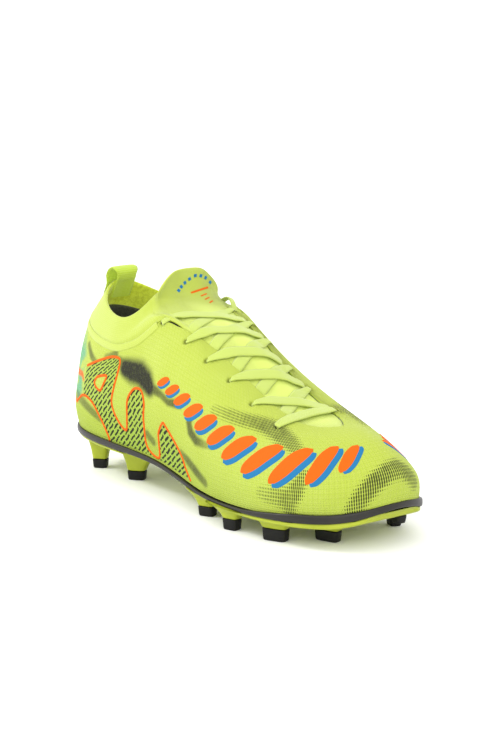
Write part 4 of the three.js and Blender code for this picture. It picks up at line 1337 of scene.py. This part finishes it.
# ------------------------------------------------------------------ prints
BLUE_LIFT = 0.2               # millimetres of each film over the last
ORANGE_LIFT = 0.32
TAB_LIFT = 0.72
FILM_SINK = 0.15              # how far its edge dips under the cloth
CORD_WIDTH = 1.7 * MM
CORD_HEIGHT = 0.38 * MM
BLADE_LEAN = 0.78


def patches(name, grids, material, slot):
    """One object from several grids of points."""
    piece = joined(name, [grid_object(name, grid, material) for grid in grids])
    piece.data.shade_smooth()
    piece.data.materials.append(material)
    return piece


def printed_patch(centre, heading, shape, lift):
    """Points of a thin film on the last. shape(s, t) gives millimetres along and across heading."""
    s, t = np.meshgrid(np.linspace(0, 1, 15), np.linspace(0, 1, 33))
    along, up = shape(s, t)
    normal = outward(*centre)
    ahead = unit(heading - normal * heading.dot(normal))
    rise = np.cross(normal, ahead)
    rise = rise if rise[2] > 0 else -rise
    targets = surface(*centre) + (ahead * along[..., None] + rise * up[..., None]) * MM
    u, v = settle(targets, np.full(s.shape, centre[0]), np.full(s.shape, centre[1]))
    inside = np.minimum(np.minimum(s, 1 - s) * 2, np.minimum(t, 1 - t) * 4)
    height = (lift + FILM_SINK) * smoothstep(inside, 0.0, 0.12) - FILM_SINK
    return last_point(u, v, height * MM)


# The row of blades along each side: its middle line as (rib, level), then each blade's
# (place along the line, height, width) in millimetres from the rear.
BLADE_LINE = ((3.30, 2.78), (3.80, 2.55), (4.40, 2.30), (5.00, 2.12), (5.60, 1.98), (6.20, 1.96),
              (6.70, 2.05), (7.20, 2.15), (7.70, 2.2))
BLADES = (
    (3, 8.5, 6.6), (13, 10, 7.2), (24, 12, 8), (36.5, 14, 8.8), (50, 16, 9.8), (65, 18.5, 10.6),
    (81.5, 21, 11.6), (99.5, 23, 12.4), (118.5, 24, 12.6), (136.5, 22, 11.4), (151.5, 15.5, 9.4),
)


def blade_shape(height, width, forward, low):
    """A leaning blade with softly rounded ends, moved by forward and low, in millimetres."""
    def shape(s, t):
        half = 0.5 * width * (1 - 0.75 * np.abs(2 * t - 1) ** 3.5)
        up = (t - 0.5) * height
        return (2 * s - 1) * half + up * BLADE_LEAN + forward, up + low
    return shape


def blade_places():
    spots = path_points(BLADE_LINE, 0.5 * MM)
    length = run_along(spots) / MM
    for at, height, width in BLADES:
        k = min(int(np.searchsorted(length, at)), len(spots) - 2)
        yield spots[k], spots[k + 1], height, width


def side_blades():
    """A generic row of leaning blades on both sides, orange over blue."""
    orange, blue = [], []
    for spot, ahead, height, width in blade_places():
        over = blade_shape(height, width, 0, 0)
        under = blade_shape(height, width, 0.2 * width, -0.1 * height)
        for here, there in ((spot, ahead), mirrored((spot, ahead))):
            heading = unit(surface(*there) - surface(*here))
            orange.append(printed_patch(here, heading, over, ORANGE_LIFT))
            blue.append(printed_patch(here, heading, under, BLUE_LIFT))
    for name, grids, material in (("side_blades_orange", orange, ORANGE_PRINT),
                                  ("side_blades_blue", blue, BLUE_PRINT)):
        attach(patches(name, grids, material, "knit"), "boot")


def peak_outlines():
    """Raised orange cord lines round the heel pattern on both sides."""
    for name, spots in (("heel_peaks", PEAKS), ("heel_peaks_back", PEAKS_BACK),
                        ("heel_peaks_window", PEAKS_WINDOW)):
        for side, turned in (("lateral", spots), ("medial", mirrored(spots))):
            line = path_points(turned, 0.8 * MM)
            piece = band_on_last(f"{name}_{side}", line, CORD_WIDTH, CORD_HEIGHT, ORANGE_PRINT)
            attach(piece, "boot")


def bar_shape(length, width):
    return lambda s, t: ((t - 0.5) * length, (s - 0.5) * width)


# Small plain dashes on the tab: the arc's (rib, level), then each bar's with its length and width.
TAB_ARC = ((6.8, 6.36), (7.15, 6.47), (7.55, 6.58), (8.0, 6.68), (8.5, 6.77), (9.05, 6.77), (9.65, 6.75),
           (10.25, 6.68))
TAB_BARS = ((8.9, 6.3, 15.0, 1.4), (9.05, 6.12, 5.6, 0.9), (9.1, 5.99, 4.6, 0.9), (9.15, 5.87, 3.8, 0.9))


def tab_marks():
    arc = []
    for k, spot in enumerate(TAB_ARC):
        before = surface(*TAB_ARC[max(k - 1, 0)])
        after = surface(*TAB_ARC[min(k + 1, len(TAB_ARC) - 1)])
        arc.append(printed_patch(spot, unit(after - before), bar_shape(2.0, 2.2), TAB_LIFT))
    bars = []
    for u, v, length, width in TAB_BARS:
        heading = unit(surface(u + 0.1, v + 0.008) - surface(u - 0.1, v - 0.008))
        bars.append(printed_patch((u, v), heading, bar_shape(length, width), TAB_LIFT))
    for name, grids, material in (("tab_arc_marks", arc, BLUE_PRINT),
                                  ("tab_bar_marks", bars, ORANGE_PRINT)):
        piece = patches(name, grids, material, "collar_knit")
        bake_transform(piece)


# ------------------------------------------------------------------ camera, light, floor
CAMERA_AZIMUTH = math.radians(50.3)
CAMERA_ELEVATION = math.radians(11.3)
CAMERA_DISTANCE = 1.177
CAMERA_LENS = 98.06
CAMERA_TARGET = Vector((4 * MM, 9.5 * MM, 74 * MM))


def aimed(name, data, place, direction):
    """A camera or a light that looks along direction."""
    item = linked(name, data)
    item.location = place
    item.rotation_mode = "QUATERNION"
    item.rotation_quaternion = direction.to_track_quat("-Z", "Y")
    return item


def camera():
    back = Vector((
        math.sin(CAMERA_AZIMUTH) * math.cos(CAMERA_ELEVATION),
        -math.cos(CAMERA_AZIMUTH) * math.cos(CAMERA_ELEVATION),
        math.sin(CAMERA_ELEVATION),
    ))
    data = bpy.data.cameras.new("camera")
    data.sensor_width = 36
    data.lens = CAMERA_LENS
    data.clip_end = 50
    place = CAMERA_TARGET + back * CAMERA_DISTANCE
    bpy.context.scene.camera = aimed("camera", data, place, -back)


def area_light(name, place, aim, size, power):
    data = bpy.data.lights.new(name, "AREA")
    data.shape = "DISK"
    data.size = size
    data.energy = power
    aimed(name, data, place, Vector(aim) - Vector(place))


def studio():
    world = bpy.data.worlds.new("studio")
    world.use_nodes = True
    background = world.node_tree.nodes["Background"]
    background.inputs["Color"].default_value = (1, 1, 1, 1)
    background.inputs["Strength"].default_value = STUDIO_STRENGTH
    bpy.context.scene.world = world
    bpy.context.scene.view_settings.view_transform = "Standard"
    area_light("soft_key", (-0.85, -0.95, 1.15), (0, 0, 0.03), 0.35, 11)
    area_light("soft_front", (1.2, -1.0, 0.9), (0.05, 0, 0.06), 0.8, 6)


FLOOR_REACH = 12              # metres each way


def floor():
    shader = Shader("studio_floor", roughness=0.9, specular=0.1)
    grain = shader.noise(3, 2)
    colour = shader.mix(grain, (0.93, 0.93, 0.93, 1), (0.95, 0.95, 0.95, 1))
    material = shader.finish(colour, shader.bump(grain, 0.1 * MM))
    steps = np.linspace(-FLOOR_REACH, FLOOR_REACH, 9)
    x, y = np.meshgrid(steps, steps)
    item = grid_object("floor", np.stack([x, y, np.zeros_like(x)], axis=-1), material)


# ------------------------------------------------------------------ assembly
KNIT = knit_material()
KNIT_BACK = fuzzy_material("knit_inner_face", rgb(150, 168, 40), rgb(110, 126, 26))
COLLAR = sock_material()
COLLAR_LINING = fuzzy_material("collar_brushed_lining", LIME_INSIDE, rgb(166, 180, 34), LINING_GLOW)
WEBBING = webbing_material()
LACE = lace_material()
LINING = lining_material()
# The last colour of each moulded plastic is its painted edge highlight.
PLATE = moulded_material("plate_grey", rgb(48, 46, 41), rgb(36, 34, 30), 0.4, rgb(96, 90, 80))
LIME_PLASTIC = moulded_material("frame_lime_plastic", rgb(194, 206, 56), rgb(176, 190, 42), 0.42,
                                rgb(200, 216, 104))
STUD_TIP = moulded_material("stud_tip_black", rgb(14, 14, 11), rgb(9, 9, 7), 0.6, rgb(50, 48, 44))
BOARD = board_material()
ORANGE_PRINT = print_material("print_orange", ORANGE, rgb(240, 98, 6))
BLUE_PRINT = print_material("print_blue", BLUE, rgb(34, 116, 170))

camera()
studio()
floor()
knit_upper()
sock()
seam_tape()
pull_loop()
lace()
slack_lace()
side_blades()
peak_outlines()
tab_marks()
heel_lining()
sockliner()
sole_plate()
stud_frame("heel_stud_carrier", "heel_stud_frame", 0.35, 2.35, STUDS[:4])
stud_frame("forefoot_stud_carrier", "forefoot_stud_frame", 3.85, 7.75, STUDS[4:])
for each in STUDS:
    stud_tip(each)
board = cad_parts["insole_board"]
board.data.materials.clear()
board.data.materials.append(BOARD)
